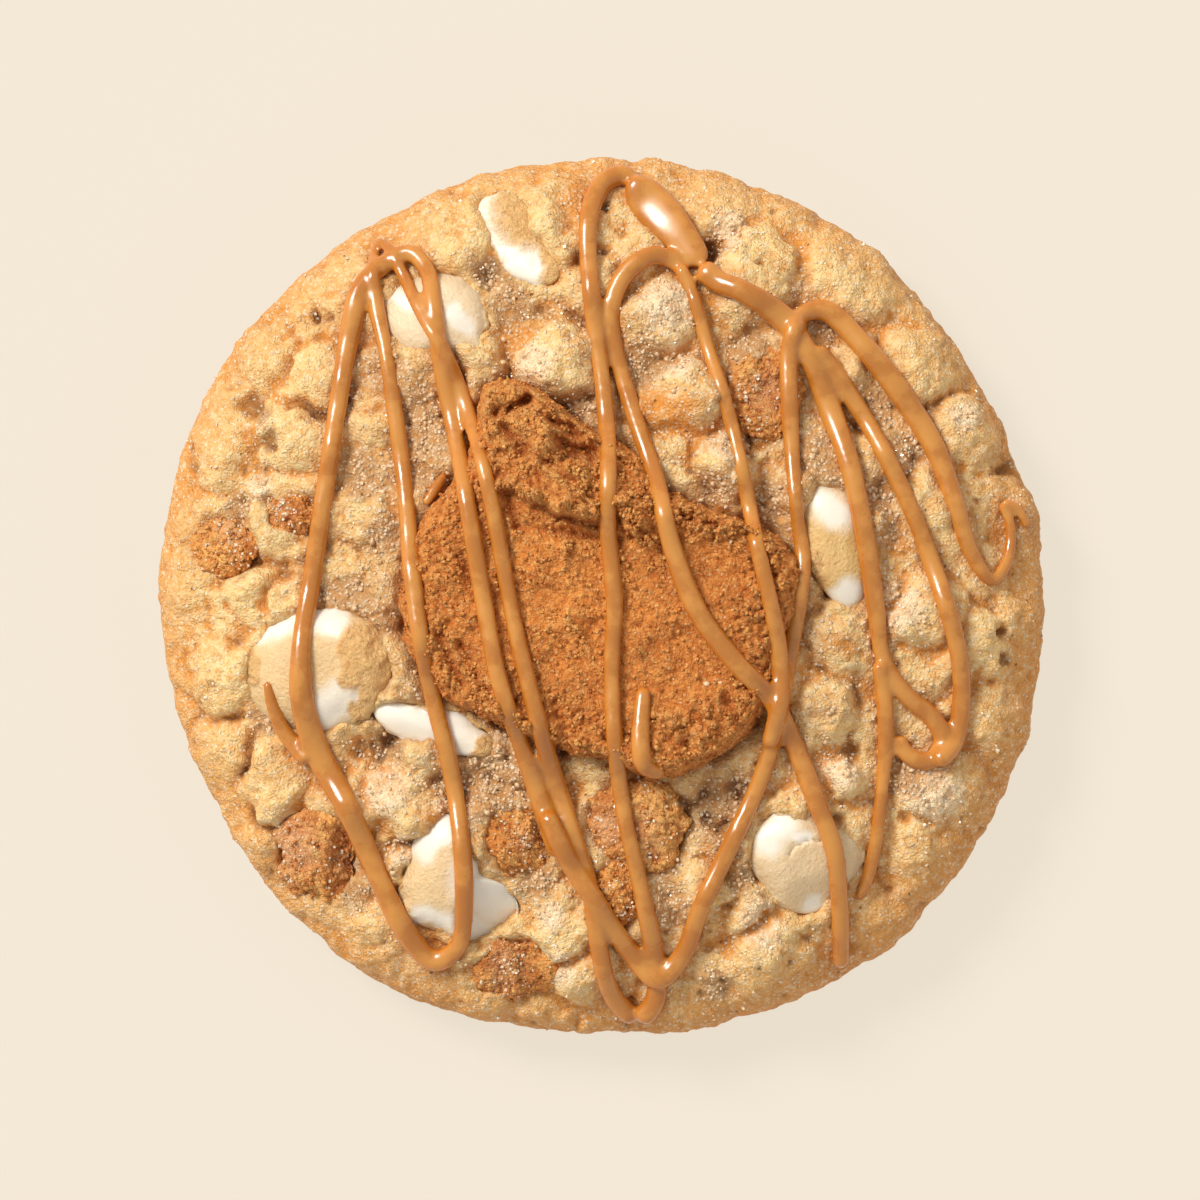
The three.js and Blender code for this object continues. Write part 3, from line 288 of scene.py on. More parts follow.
# The drizzle's strands in the order they fell, rows of [x, y, width].
STRANDS = [
    # The far left loops, out and back over the left of the biscuit.
    [[-4.5, -29.3, 2.5], [-6.8, -22.3, 2.4], [-8.8, -16.7, 2.2], [-11.2, -9.6, 2.2],
     [-13, -0.4, 2.1], [-14.6, 9.1, 2.1], [-16.1, 17.5, 2.1], [-17.6, 25.1, 2.2], [-18.6, 32, 2.1],
     [-19.5, 36.7, 2.1], [-21.4, 38.5, 2.1], [-24.2, 37.3, 2.2], [-26.8, 34.5, 2.4],
     [-28, 29.8, 2.5], [-29.3, 21.9, 2.2], [-30.8, 11.9, 2.1], [-32.3, 1.8, 2.2],
     [-33.4, -5.5, 2.4], [-33.3, -11.6, 2.9], [-31.6, -17.5, 3.2], [-28.3, -23.7, 2.7],
     [-25.2, -30.7, 2.5], [-21.9, -37.5, 2.5], [-18.6, -41, 2.5], [-16, -39.4, 2.2],
     [-15.2, -34, 2.2], [-15.8, -25.1, 2.1], [-17.1, -17.5, 2.2], [-18.9, -10.5, 2.1],
     [-20.3, -2.7, 2.1], [-21.1, 4, 2.1], [-21.8, 11.9, 2], [-23, 20.8, 1.9], [-24.1, 27.8, 1.8],
     [-25.1, 32.6, 1.9], [-25.5, 37.4, 1.3], [-24.9, 40.2, 1]],
    # From the tip beyond them down to the near edge.
    [[-25.1, 40.3, 1], [-23.5, 38.6, 1.3], [-21.9, 35.6, 1.6], [-19.7, 31.1, 1.6],
     [-17.1, 26.7, 1.7], [-14.6, 19.9, 1.8], [-12.4, 11.9, 1.9], [-10.9, 4, 1.9],
     [-9.4, -3.8, 2], [-7.5, -11.6, 2.1], [-5.5, -18.9, 2.2], [-3.1, -26.4, 2.2],
     [-1.1, -32.9, 2.2], [-0.2, -39.1, 2.2], [1.3, -44.7, 2.3], [4.1, -48, 2.4]],
    # The short tail at the big chip.
    [[-37.4, -9.4, 1], [-36.7, -12.2, 1.6], [-35.4, -15.2, 1.9], [-32.6, -18.6, 2.2]],
    # Up the middle.
    [[4.3, -48, 2.4], [6.2, -45.4, 2.4], [6.2, -41, 2.4], [4.6, -32.9, 2.1], [2.8, -24.9, 2],
     [1.7, -16.7, 2], [1.3, -8.3, 2], [1.6, -0.4, 2], [0.9, 7.4, 2.1], [0.9, 16.3, 2.1],
     [0.3, 23.6, 2], [-0.4, 28.7, 2.1], [-1, 34.3, 2.2], [-1.4, 40.5, 2.2],
     [-0.9, 44, 2.4], [0.5, 46.6, 2.4], [2.6, 47.4, 2.4], [4.2, 46.4, 2.2]],
    # The fat pool at the far edge.
    [[3.4, 47.2, 2.4], [5, 45, 4.4], [7.4, 42.2, 4.6], [9.7, 39.6, 3.6], [11.6, 37, 2.6]],
    # From the pool to the hook at the right.
    [[11.2, 37.2, 2.8], [13, 35.4, 2.6], [16.2, 34, 2.7], [20.7, 30.9, 2.9], [23.7, 26.2, 2.7],
     [26, 20.3, 2.6], [28.1, 14.1, 2.5], [29.8, 5.7, 2.4], [30.9, -1.6, 2.2], [31.8, -7.2, 2],
     [34.2, -11, 2.1], [37.4, -13.8, 2.2], [38.5, -16.3, 2.1], [37, -18.5, 2.1],
     [34.5, -17.8, 2], [33.2, -15.6, 1.8]],
    # The near loop, up over the right of the biscuit and round to the rim's hook.
    [[-6.2, -24, 2.2], [-3.4, -29.8, 2.4], [-0.2, -34.6, 2.4], [3.1, -39.6, 2.4], [6.5, -43, 2.5],
     [9.3, -40.2, 2.3], [11.4, -34.6, 2.2], [14.9, -27.3, 2.1], [17.9, -20.6, 2.1],
     [19.6, -15, 2.2], [21.1, -7.2, 2], [22.3, -0.4, 2], [22.7, 4, 1.9], [22.1, 8.5, 1.7],
     [21.5, 15.8, 1.9], [21.2, 21.9, 2.2], [21.3, 28.1, 2.2], [22.7, 31.5, 2.2], [25.3, 32, 2.5],
     [29.3, 28.3, 2.7], [33.9, 22.5, 2.8], [37.7, 16.3, 2.5], [40, 9.9, 2.2], [41.8, 4.6, 1.9],
     [44.1, 1.8, 1.6], [45.8, 4, 1.5], [46.2, 8, 1.3], [45.1, 10.6, 1.1]],
    [[45.1, 10.6, 1.1], [46.8, 10, 1.2], [48.4, 7.6, 1.2]],
    # The small loop beside the pool, and its long run to the near right.
    [[9.4, 36, 1.8], [8.5, 37.4, 2], [6.2, 38.2, 2.2], [3.8, 37.1, 2.2], [1.9, 34.6, 2.2],
     [1.2, 31.5, 2.2], [1.8, 27.3, 2], [3.7, 20.6, 2], [6.2, 13, 2.1], [8.1, 5.2, 2.2],
     [10.9, -1.8, 2.4], [15.1, -7.4, 2.4], [19.1, -11.6, 2.4], [21.8, -16.8, 2.4],
     [24.1, -22.8, 2.2], [26.2, -28.4, 2.2], [26.9, -34.6, 2.2], [27.1, -39.6, 2.1],
     [27.1, -42.1, 2]],
    # The thin one inside it.
    [[8.8, 37.2, 1.7], [10.3, 34, 1.7], [12, 28.1, 1.7], [14.4, 20.3, 1.7], [16.2, 12.4, 1.8],
     [17.6, 5.2, 1.9], [18.9, -0.4, 2], [19.9, -6, 2.2], [20, -11.6, 2.2], [18.8, -17.2, 2.1]],
    # The two beside the right chip.
    [[24.2, 28, 2], [26.3, 25.1, 2.2], [29.8, 19.7, 2.2], [33.1, 13.5, 2.2], [35.8, 7.4, 2.1],
     [38.2, 0.7, 2.2], [40, -5.5, 2.2], [40.6, -11.1, 2.2], [39.8, -16.3, 2.2], [37.6, -19, 2.2]],
    [[31.2, -7.2, 1.8], [31.9, -12.2, 2], [32, -17.2, 1.9], [31.5, -22.8, 1.6],
     [30.9, -27.9, 1.6], [30, -31.8, 1.5], [28.9, -34.3, 0.9]],
    # Short drips.
    [[4.9, -10, 1.6], [4.6, -13.2, 2.1], [4.5, -16.4, 2.3], [5, -18.9, 2.3], [7.4, -19.9, 1.6]],
    [[-17.2, 13.9, 0.9], [-18.5, 11.9, 1.3], [-19.7, 10, 1]],
]


def seen(*parts):
    """A colour as it is seen, 0 to 255, turned into the linear one that Blender's sockets take."""
    shares = [part / 255 for part in parts]
    return *(share / 12.92 if share <= 0.04045 else ((share + 0.055) / 1.055) ** 2.4
             for share in shares), 1.0


def colour(name, description, default):
    return bpy.props.FloatVectorProperty(
        name=name, description=description, default=default, size=4, min=0, max=1, subtype="COLOR")


def length(name, description, default):
    return bpy.props.FloatProperty(
        name=name, description=description, default=default * MM, min=0, unit="LENGTH", precision=5)


def number(name, description, default, most=1000.0):
    return bpy.props.FloatProperty(
        name=name, description=description, default=default, min=0, max=most)


def angular(name, description, degrees):
    return bpy.props.FloatProperty(
        name=name, description=description, default=math.radians(degrees), subtype="ANGLE")


def whole(name, description, default):
    return bpy.props.IntProperty(name=name, description=description, default=default, min=0)


class CookieDoughSettings(bpy.types.PropertyGroup):
    rim_radius: length("Rim radius", "Mean radius of the dough at its widest", 49.8)
    rim_height: length("Rim height", "Height of the widest line above the table", 5)
    foot_radius: length("Foot radius", "Radius of the flat underside", 47.2)
    dome_height: length("Dome height", "Height of the dough's dome", 18)
    fullness: number("Fullness", "2 is an ellipse's section, more is flatter on top", 2.6)
    crust: colour("Crust", "Baked skin of the dough", seen(254, 219, 150))
    # Also laid on as painted shade: in folds, creases and hollows, and on the rim's side away from
    # the key light.
    golden: colour("Golden", "Where the skin has browned", seen(226, 146, 56))
    wet: colour("Wet dough", "Greyish, sugary dough in the valleys", seen(202, 150, 94))
    pale: colour("Pale mounds", "Sugary mounds that stayed pale", seen(255, 230, 188))
    stain: colour("Caramel stain", "Where caramel has soaked in at a strand", seen(198, 118, 48))
    glint: colour("Glint", "Single grains of sugar in the skin", seen(253, 238, 208))
    # Painted shade: this colour darkens creases, hollows, pits, pores and the dough beside
    # pressed-in pieces.
    crack: colour("Crack", "Inside of cracks and pits", seen(104, 56, 24))


class BigBiscuitSettings(bpy.types.PropertyGroup):
    radius: length("Radius", "Mean radius of the big biscuit", 21)
    bottom: length("Bottom", "Height of its underside above the table", 13.6)
    top: length("Top", "Height of its plateau above the table", 22.2)
    crumb: colour("Crumb", "Sandy top of the biscuit", seen(243, 151, 69))
    # Also painted highlight on crests and where the crumb stands above its surroundings.
    bright: colour("Bright crumb", "Loose crumbs and broken edges", seen(255, 190, 106))
    # Also painted shade in hollows, cracks, notches, between broken pieces and on the steep sides.
    dark: colour("Dark crumb", "Hollows and cracks", seen(170, 77, 18))
    glint: colour("Glint", "Single grains of sugar in the crumb", seen(250, 206, 150))
    sugar: colour("Sugared crumb", "Where melted sugar covers the crumb", seen(234, 178, 130))


class WhiteChipSettings(bpy.types.PropertyGroup):
    white: colour("White", "Clean white chocolate", seen(238, 230, 214))
    toasted: colour("Toasted", "Where the oven has browned it", seen(219, 178, 108))
    browned: colour("Browned", "Darker grains in the coat", seen(212, 146, 78))
    coat: colour("Coat", "Dough that clings to it", seen(232, 186, 122))
    speck: colour("Speck", "Dark specks in the coat", (0.2, 0.08, 0.03, 1))


class DrizzleSettings(bpy.types.PropertyGroup):
    thickness: number("Thickness", "Half of a strand's height, per width", 0.42)
    sit: number("Sit", "Height of a strand's middle over its support, per width", 0.28)
    voxel: length("Fusing step", "Size of the steps in which strands are fused", 0.25)
    caramel: colour("Caramel", "Colour of the thick caramel", seen(180, 114, 36))
    # Painted on the sides by their slant to the camera, standing in for shade and for light passing
    # through the caramel.
    deep: colour("Deep caramel", "Colour seen through a strand's sides", seen(206, 108, 10))
    thin: colour("Thin caramel", "Colour where it is thin or lit through", seen(200, 138, 58))


class CrumbSettings(bpy.types.PropertyGroup):
    crystals: whole("Sugar crystals", "How many lie on the dough", 2600)
    crystal_size: length("Crystal size", "Mean size of a sugar crystal", 0.2)
    chunk_crystals: whole("Crystals on a chunk", "How many lie on each biscuit chunk", 90)
    crumbs: whole("Biscuit crumbs", "How many lie on the biscuit", 3200)
    chunk_crumbs: whole("Crumbs on a chunk", "How many lie on each biscuit chunk", 90)
    crumb_size: length("Crumb size", "Mean size of a biscuit crumb", 0.34)
    grains: whole("Dough grains", "How many sugary grains stand in the valleys", 1800)
    grain_size: length("Grain size", "Mean size of a sugary grain", 0.5)
    crystal: colour("Crystal", "Sugar", seen(236, 214, 182))
    grain: colour("Grain", "Sugary dough grain", seen(228, 192, 148))


class StageSettings(bpy.types.PropertyGroup):
    floor: colour("Floor", "Plain floor as it is seen", seen(244, 233, 215))
    floor_glow: number(
        "Floor glow", "Share of the floor's light that no shadow takes away", 0.84, most=1)
    light: colour("Light", "Tint of the key light and of the even light", (1.0, 0.985, 0.96, 1))
    key: number("Key light", "Its strength", 3.1)
    key_size: angular("Key size", "Angle that the key light fills", 20)
    key_tilt: angular("Key tilt", "How far it leans from straight above", 47)
    key_turn: angular("Key direction", "Where it comes from, counter-clockwise from +X", 138)
    sky: number("Sky", "Strength of the even light", 0.62)
    view_width: length("View width", "Width of the floor that the camera sees", 136.36)
    lens: number("Lens", "Focal length in mm", 300)
    shift: length("Camera offset", "How much nearer the camera lies than the cookie's middle", 0.45)


# ---------------------------------------------------------------------------------------------
# Numbers


def smooth(low, high, value):
    """0 up to low and 1 from high on, with a soft step between them."""
    share = np.clip((value - low) / (high - low), 0, 1)
    return share * share * (3 - 2 * share)


def bell(gap, width):
    """1 where the gap is 0, falling softly to nearly 0 at twice the width."""
    return np.exp(-(gap / width) ** 2)


def chance(column, row, seed):
    """A number from 0 to 1 that depends only on whole numbers."""
    low = 0xFFFFFFFF
    mixed = (column * 374761393 & low) ^ (row * 668265263 & low) ^ (seed * 974711 & low)
    mixed = (mixed ^ mixed >> 13) * 1274126177 & low
    return (mixed ^ mixed >> 16) / 4294967296


LAYER_SEED = 57  # From one layer of cells in height to the next.
AXIS_SEED = 7919  # From one axis of a cell's point to the next.


def noise(place, size, seed):
    """Soft noise from -1 to 1, its lumps about as large as size. Place has two or three columns."""
    scaled = place / size
    cell = np.floor(scaled).astype(np.int64)
    share = smooth(0, 1, scaled - cell)
    total = np.zeros(len(place))
    for corner in np.ndindex(*(2,) * place.shape[1]):
        weight = np.prod(np.where(corner, share, 1 - share), axis=1)
        level = seed + LAYER_SEED * (cell[:, 2] + corner[2]) if len(corner) == 3 else seed
        total += weight * chance(cell[:, 0] + corner[0], cell[:, 1] + corner[1], level)
    return 2 * total - 1


def rough(place, size, seed, octaves=3):
    """Noise in several sizes, each half of the one before."""
    return sum(noise(place, size / 2 ** step, seed + step) / 2 ** step for step in range(octaves))


def shove(place, amount, size, seed, octaves=3, step=3):
    """Rough shifts of places, each axis with its own seed, a step from the one before."""
    return amount * np.stack([rough(place, size, seed + step * axis, octaves)
                              for axis in range(place.shape[1])], axis=1)


def cells(place, size, seed):
    """Points lie one to a cell. Returns the distance to the nearest one and how much farther the
    second is, per size, and a number from 0 to 1 for the nearest."""
    scaled = place / size
    home = np.floor(scaled).astype(np.int64)
    nearest, second = np.full((2, len(place)), 9.0)
    name = np.zeros(len(place))
    for step in np.ndindex(3, 3, 3):
        cell = home + np.array(step) - 1
        level = seed + LAYER_SEED * cell[:, 2]
        gap = np.zeros(len(place))
        for axis in range(3):
            spot = cell[:, axis] + chance(cell[:, 0], cell[:, 1], level + AXIS_SEED * (axis + 1))
            gap += (scaled[:, axis] - spot) ** 2
        gap = np.sqrt(gap)
        closer = gap < nearest
        second = np.where(closer, nearest, np.minimum(second, gap))
        name = np.where(closer, chance(cell[:, 0], cell[:, 1], level + 5), name)
        nearest = np.minimum(nearest, gap)
    return nearest, second - nearest, name


def square_gap(place, x, y, radius):
    """Squared distance in plan from a point, per squared radius."""
    return ((place[:, 0] - x) ** 2 + (place[:, 1] - y) ** 2) / radius ** 2


def patches(place, spots):
    """How much a place lies in the soft round patches, 0 to 1. A fourth number is the amount."""
    left = np.ones(len(place))
    for x, y, radius, *amount in spots:
        left *= 1 - (amount[0] if amount else 1) * np.exp(-square_gap(place, x, y, radius))
    return 1 - left


def segment_gap(place, start, end):
    """Distance from places to a straight line between two points, in plan."""
    start, end = np.array(start, float), np.array(end, float)
    along = end - start
    share = np.clip(((place[:, :2] - start) @ along) / (along @ along), 0, 1)
    return np.linalg.norm(place[:, :2] - start - share[:, None] * along, axis=1)


def strokes(place, rows, soft):
    """How much a place lies in the soft-edged strokes, 0 to 1. A stroke may be a single point."""
    shares = [1 - smooth((1 - soft) * half, (1 + soft) * half,
                         segment_gap(place, (x, y), (end_x, end_y + 1e-6)))
              for x, y, end_x, end_y, half in rows]
    return np.maximum.reduce(shares) if shares else np.zeros(len(place))


def ridges(place, rows):
    """Summed height of the soft ridges at a place."""
    return sum(height * bell(segment_gap(place, (x, y), (end_x, end_y)), width)
               for x, y, end_x, end_y, width, height in rows)


def bent_step(start, end, leave, arrive, share):
    """The way from start to end that leaves and arrives with the given slopes."""
    rise = end - start
    return (start + leave * share + (3 * rise - 2 * leave - arrive) * share ** 2
            + (leave + arrive - 2 * rise) * share ** 3)


def closed_outline(points):
    """The radius of a closed outline at any angle, through [angle in degrees, radius] points."""
    angles = np.array([point[0] for point in points] + [points[0][0] + 360], float)
    radii = np.array([point[1] for point in points], float)
    count = len(points)

    def radius_at(angle):
        turned = np.mod(np.degrees(angle) - angles[0], 360) + angles[0]
        index = np.clip(np.searchsorted(angles, turned, side="right") - 1, 0, count - 1)
        share = (turned - angles[index]) / (angles[index + 1] - angles[index])
        before, start, end, after = (radii[(index + step) % count] for step in (-1, 0, 1, 2))
        return bent_step(start, end, (end - before) / 2, (after - start) / 2, share)
    return radius_at


def curve_through(points, per_span):
    """Places along a centripetal Catmull-Rom curve, as many from each point to the next as per_span
    says."""
    points = np.asarray(points, float)
    padded = np.vstack([2 * points[0] - points[1], points, 2 * points[-1] - points[-2]])
    gaps = np.linalg.norm(np.diff(padded, axis=0), axis=1) ** 0.5
    made = []
    for index, steps in enumerate(per_span):
        before, start, end, after = padded[index:index + 4]
        first, middle, last = gaps[index:index + 3]
        leave = middle * ((start - before) / first - (end - before) / (first + middle)
                          + (end - start) / middle)
        arrive = middle * ((end - start) / middle - (after - start) / (middle + last)
                           + (after - end) / last)
        made.append(bent_step(start, end, leave, arrive, np.arange(steps)[:, None] / steps))
    return np.vstack(made + [points[-1:]])


def profile_through(knots, per_span):
    return curve_through(knots, [per_span] * (len(knots) - 1))


# ---------------------------------------------------------------------------------------------
# Meshes

RIM = 1.0001  # A disc's rings past this one lie under the form.
UNDER_RINGS = [1, 1.1, 1.2, 1.3]  # The edge's ring and those under the form.
UNDER_RADII = [1, 0.975, 0.9, 0.45]  # Their radii there, as shares of the edge's.
SECTOR = math.pi / 3  # Of the hexagon that a disc starts as.


def mesh_from(shape, name):
    """The bmesh as a mesh of its own."""
    mesh = bpy.data.meshes.new(name)
    shape.to_mesh(mesh)
    shape.free()
    return mesh


@contextmanager
def reshaping(mesh):
    """Gives the mesh as a bmesh, and takes it back at the end."""
    shape = bmesh.new()
    shape.from_mesh(mesh)
    yield shape
    shape.to_mesh(mesh)
    shape.free()


def add_object(name, data):
    made = bpy.data.objects.new(name, data)
    bpy.context.scene.collection.objects.link(made)
    return made


def evaluated_mesh(item):
    """An object's mesh with its modifiers applied. The object itself goes."""
    mesh = bpy.data.meshes.new_from_object(
        item.evaluated_get(bpy.context.evaluated_depsgraph_get()))
    bpy.data.objects.remove(item)
    return mesh


def read(rows, name, columns=1, kind=float):
    """One property of all rows of a Blender collection."""
    flat = np.empty(columns * len(rows), kind)
    rows.foreach_get(name, flat)
    return flat.reshape(-1, columns) if columns > 1 else flat


def places_of(mesh):
    return read(mesh.vertices, "co", 3)


def put_places(mesh, place):
    """Moves the vertices to places in mm."""
    mesh.vertices.foreach_set("co", (place * MM).astype(np.float32).ravel())


def open_edges(shape):
    return [edge for edge in shape.edges if edge.is_boundary]


def fine_disc(divisions):
    """A flat disc of near-equal triangles, with rings outside it that close a form from below."""
    shape = bmesh.new()
    bmesh.ops.create_circle(shape, cap_ends=True, cap_tris=True, segments=6, radius=1)
    for parts in divisions:
        bmesh.ops.subdivide_edges(shape, edges=shape.edges[:], cuts=parts - 1, use_grid_fill=True)
    for tenths in range(10, 9 + len(UNDER_RINGS)):
        made = bmesh.ops.extrude_edge_only(shape, edges=open_edges(shape))["geom"]
        outward = (tenths + 1) / tenths
        bmesh.ops.scale(shape, vec=(outward, outward, 1), verts=[
            part for part in made if isinstance(part, bmesh.types.BMVert)])
    bmesh.ops.holes_fill(shape, edges=open_edges(shape))
    return shape


def disc_polar(flat):
    """Where each place of a fine disc lies: its ring, 0 in the middle and 1 at the edge, and its
    angle, so that every ring becomes a circle."""
    sides = np.radians(60 * np.arange(6))
    across = flat[:, :2] @ np.array([np.cos(sides), np.sin(sides)]) / math.cos(SECTOR / 2)
    ring = across.max(axis=1)
    first = sides[across.argmax(axis=1)] - SECTOR / 2
    corner = np.stack([np.cos(first), np.sin(first)], axis=1)
    edge = np.stack([np.cos(first + SECTOR), np.sin(first + SECTOR)], axis=1) - corner
    share = ((flat[:, :2] / np.maximum(ring, 1e-9)[:, None] - corner) * edge).sum(axis=1)
    return ring, first + share * SECTOR


def turned_form(name, divisions, profile, radius_at, mean_radius, centre, dense=()):
    """A closed form whose rings follow an outline. The profile, [radius, height] places from the
    top's middle outward and down, gets its rings evenly along it, or as the [ring, length] pairs of
    dense say. Returns the mesh, its places in mm, their outward directions and their rings."""
    mesh = mesh_from(fine_disc(divisions), name)
    ring, angle = disc_polar(places_of(mesh))
    profile = np.asarray(profile, float)
    run = np.concatenate([[0], np.cumsum(np.linalg.norm(np.diff(profile, axis=0), axis=1))])
    slope = np.gradient(profile, run, axis=0)
    knots, lengths = zip((0, 0), *dense, (1, run[-1]))
    where = np.interp(ring, knots, lengths)
    out, up = (np.interp(where, run, profile[:, axis]) for axis in (0, 1))
    lean_out, lean_up = (np.interp(where, run, part) for part in (-slope[:, 1], slope[:, 0]))
    below = ring > RIM
    out = np.where(below, out * np.interp(ring, UNDER_RINGS, UNDER_RADII), out)
    lean_out, lean_up = np.where(below, 0, lean_out), np.where(below, -1, lean_up)
    reach = out * (radius_at(angle) / mean_radius)
    place = np.stack([centre[0] + reach * np.cos(angle), centre[1] + reach * np.sin(angle), up],
                     axis=1)
    size = np.maximum(np.hypot(lean_out, lean_up), 1e-9)
    normal = np.stack([lean_out * np.cos(angle), lean_out * np.sin(angle), lean_up], axis=1)
    return mesh, place, normal / size[:, None], ring


def hollowness(mesh, height, rounds):
    """How far each vertex lies under the mean height round it; more rounds look wider."""
    first, second = read(mesh.edges, "vertices", 2, np.int64).T
    size = len(height)
    joined = np.maximum(np.bincount(first, minlength=size) + np.bincount(second, minlength=size), 1)
    level = height
    for _ in range(rounds):
        level = (np.bincount(first, level[second], size)
                 + np.bincount(second, level[first], size)) / joined
    return level - height


def add_piece(mesh, place, masks, material, body_nodes, slot_name):
    """Puts the places in mm into the mesh, adds its masks and material, and makes it a piece of the
    cookie that stands for the CAD nodes."""
    put_places(mesh, place)
    with reshaping(mesh) as shape:
        bmesh.ops.recalc_face_normals(shape, faces=shape.faces[:])
    for name, values in masks.items():
        layer = mesh.attributes.new(name, "FLOAT", "POINT")
        layer.data.foreach_set("value", np.clip(values, 0, 1).astype(np.float32))
    mesh.shade_smooth()
    mesh.materials.clear()
    mesh.materials.append(material)
    piece = add_object(mesh.name, mesh)
    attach(piece, "root")
    if body_nodes:
        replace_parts(piece, *body_nodes)


# ---------------------------------------------------------------------------------------------
# Materials


class Nodes:
    """Adds nodes to a tree, with their sockets set or linked in the same call."""

    def __init__(self, tree):
        self.tree = tree

    def fill(self, sockets, values):
        for key, value in values.items():
            if isinstance(value, bpy.types.NodeSocket):
                self.tree.links.new(value, sockets[key])
            else:
                sockets[key].default_value = value

    def add(self, kind, inputs=None, **settings):
        """Returns the new node's outputs."""
        node = self.tree.nodes.new("ShaderNode" + kind)
        for name, value in settings.items():
            setattr(node, name, value)
        self.fill(node.inputs, inputs or {})
        return node.outputs

    def mix(self, share, start, end):
        return self.add("Mix", {0: share, 6: start, 7: end}, data_type="RGBA")[2]

    def layers(self, tone, rows):
        """The tone with a colour laid over it for each row of mask, strength and colour."""
        for mask, strength, tint in rows:
            share = mask if strength == 1 else self.times(mask, strength)
            tone = self.mix(share, tone, tint)
        return tone

    def maths(self, operation, first, second, third=0.0):
        return self.add("Math", {0: first, 1: second, 2: third}, operation=operation)[0]

    def times(self, first, second):
        return self.maths("MULTIPLY", first, second)

    def minus(self, first, second):
        return self.maths("SUBTRACT", first, second)

    def spread(self, value, low, high, new_low=0.0, new_high=1.0):
        return self.add("MapRange", {0: value, 1: low, 2: high, 3: new_low, 4: new_high},
                        interpolation_type="SMOOTHSTEP")[0]

    def noise(self, vector, scale, detail, roughness=0.5):
        return self.add("TexNoise", {
            "Vector": vector, "Scale": scale, "Detail": detail, "Roughness": roughness})

    def mask(self, name):
        return self.add("Attribute", attribute_name=name)["Fac"]

    def broken(self, name, noise, breakup):
        """A mask of the piece with its edge broken up, so that a tint ends like a real one."""
        return self.add("Group", {"Mask": self.mask(name), "Noise": noise, "Breakup": breakup},
                        node_tree=breakup_group())[0]

    def bump(self, height, distance, strength=1.0):
        return self.add("Bump", {"Height": height, "Strength": strength, "Distance": distance})[0]


def new_group(name, inputs, outputs):
    """A shader node group, its nodes, the sockets that come in and those that go out. An input is a
    number, or a vector where its value is None. All outputs are numbers."""
    tree = bpy.data.node_groups.new(name, "ShaderNodeTree")
    for label, value in inputs.items():
        kind = "NodeSocketVector" if value is None else "NodeSocketFloat"
        socket = tree.interface.new_socket(label, in_out="INPUT", socket_type=kind)
        if value is not None:
            socket.default_value = value
    for label in outputs:
        tree.interface.new_socket(label, in_out="OUTPUT", socket_type="NodeSocketFloat")
    return (tree, Nodes(tree), tree.nodes.new("NodeGroupInput").outputs,
            tree.nodes.new("NodeGroupOutput").inputs)


def crumb_group():
    """Baked crumb: its height, and masks for its grains, the crackle between them, pores, glints of
    sugar, broad mottle, darker grains, and speckles that are toasted or sugared."""
    if "Baked crumb" in bpy.data.node_groups:
        return bpy.data.node_groups["Baked crumb"]
    tree, nodes, given, result = new_group(
        "Baked crumb",
        {"Vector": None, "Grains per metre": 2000.0, "Pores per metre": 500.0, "Pore amount": 0.3},
        ["Height", "Grain", "Crackle", "Pores", "Glints", "Mottle", "Variety", "Toasted",
         "Sugared"])
    vector, grains = given["Vector"], given["Grains per metre"]

    def per_grain(share):
        return nodes.times(grains, share)

    warp = nodes.noise(vector, grains, 1.0)["Color"]
    bent = nodes.add("VectorMath", {0: warp, 1: (0.3 * MM,) * 3, 2: vector},
                     operation="MULTIPLY_ADD")[0]
    grain = nodes.add("TexVoronoi", {"Vector": bent, "Scale": grains}, feature="F1")
    crackle = nodes.add("TexVoronoi", {"Vector": bent, "Scale": per_grain(0.42)},
                        feature="DISTANCE_TO_EDGE")["Distance"]
    pore = nodes.add("TexVoronoi", {"Vector": bent, "Scale": given["Pores per metre"]})
    fine = nodes.noise(vector, per_grain(1.7), 3.0, 0.65)["Fac"]
    mottle = nodes.noise(vector, per_grain(0.16), 5.0, 0.62)["Fac"]
    speckle = nodes.noise(vector, per_grain(0.5), 5.0, 0.75)["Fac"]
    chances = nodes.add("SeparateColor", {0: grain["Color"]})
    pore_chance = nodes.add("SeparateColor", {0: pore["Color"]})[0]

    mound = nodes.spread(grain["Distance"], 0.75, 0.0)
    line = nodes.times(nodes.spread(crackle, 0.07, 0.0), nodes.spread(mottle, 0.52, 0.64))
    pores = nodes.times(nodes.spread(pore["Distance"], 0.1, 0.05),
                        nodes.maths("LESS_THAN", pore_chance, given["Pore amount"]))
    glints = nodes.times(nodes.maths("GREATER_THAN", chances[1], 0.8),
                         nodes.spread(grain["Distance"], 0.42, 0.25))
    height = nodes.maths("MULTIPLY_ADD", mound, 0.4, nodes.times(fine, 1.1))
    height = nodes.minus(nodes.minus(height, nodes.times(line, 0.3)), pores)
    nodes.fill(result, {
        "Height": height, "Grain": mound, "Crackle": line, "Pores": pores, "Glints": glints,
        "Mottle": mottle, "Variety": nodes.spread(chances[0], 0.4, 1.0),
        "Toasted": nodes.spread(speckle, 0.5, 0.32), "Sugared": nodes.spread(speckle, 0.5, 0.68)})
    return tree


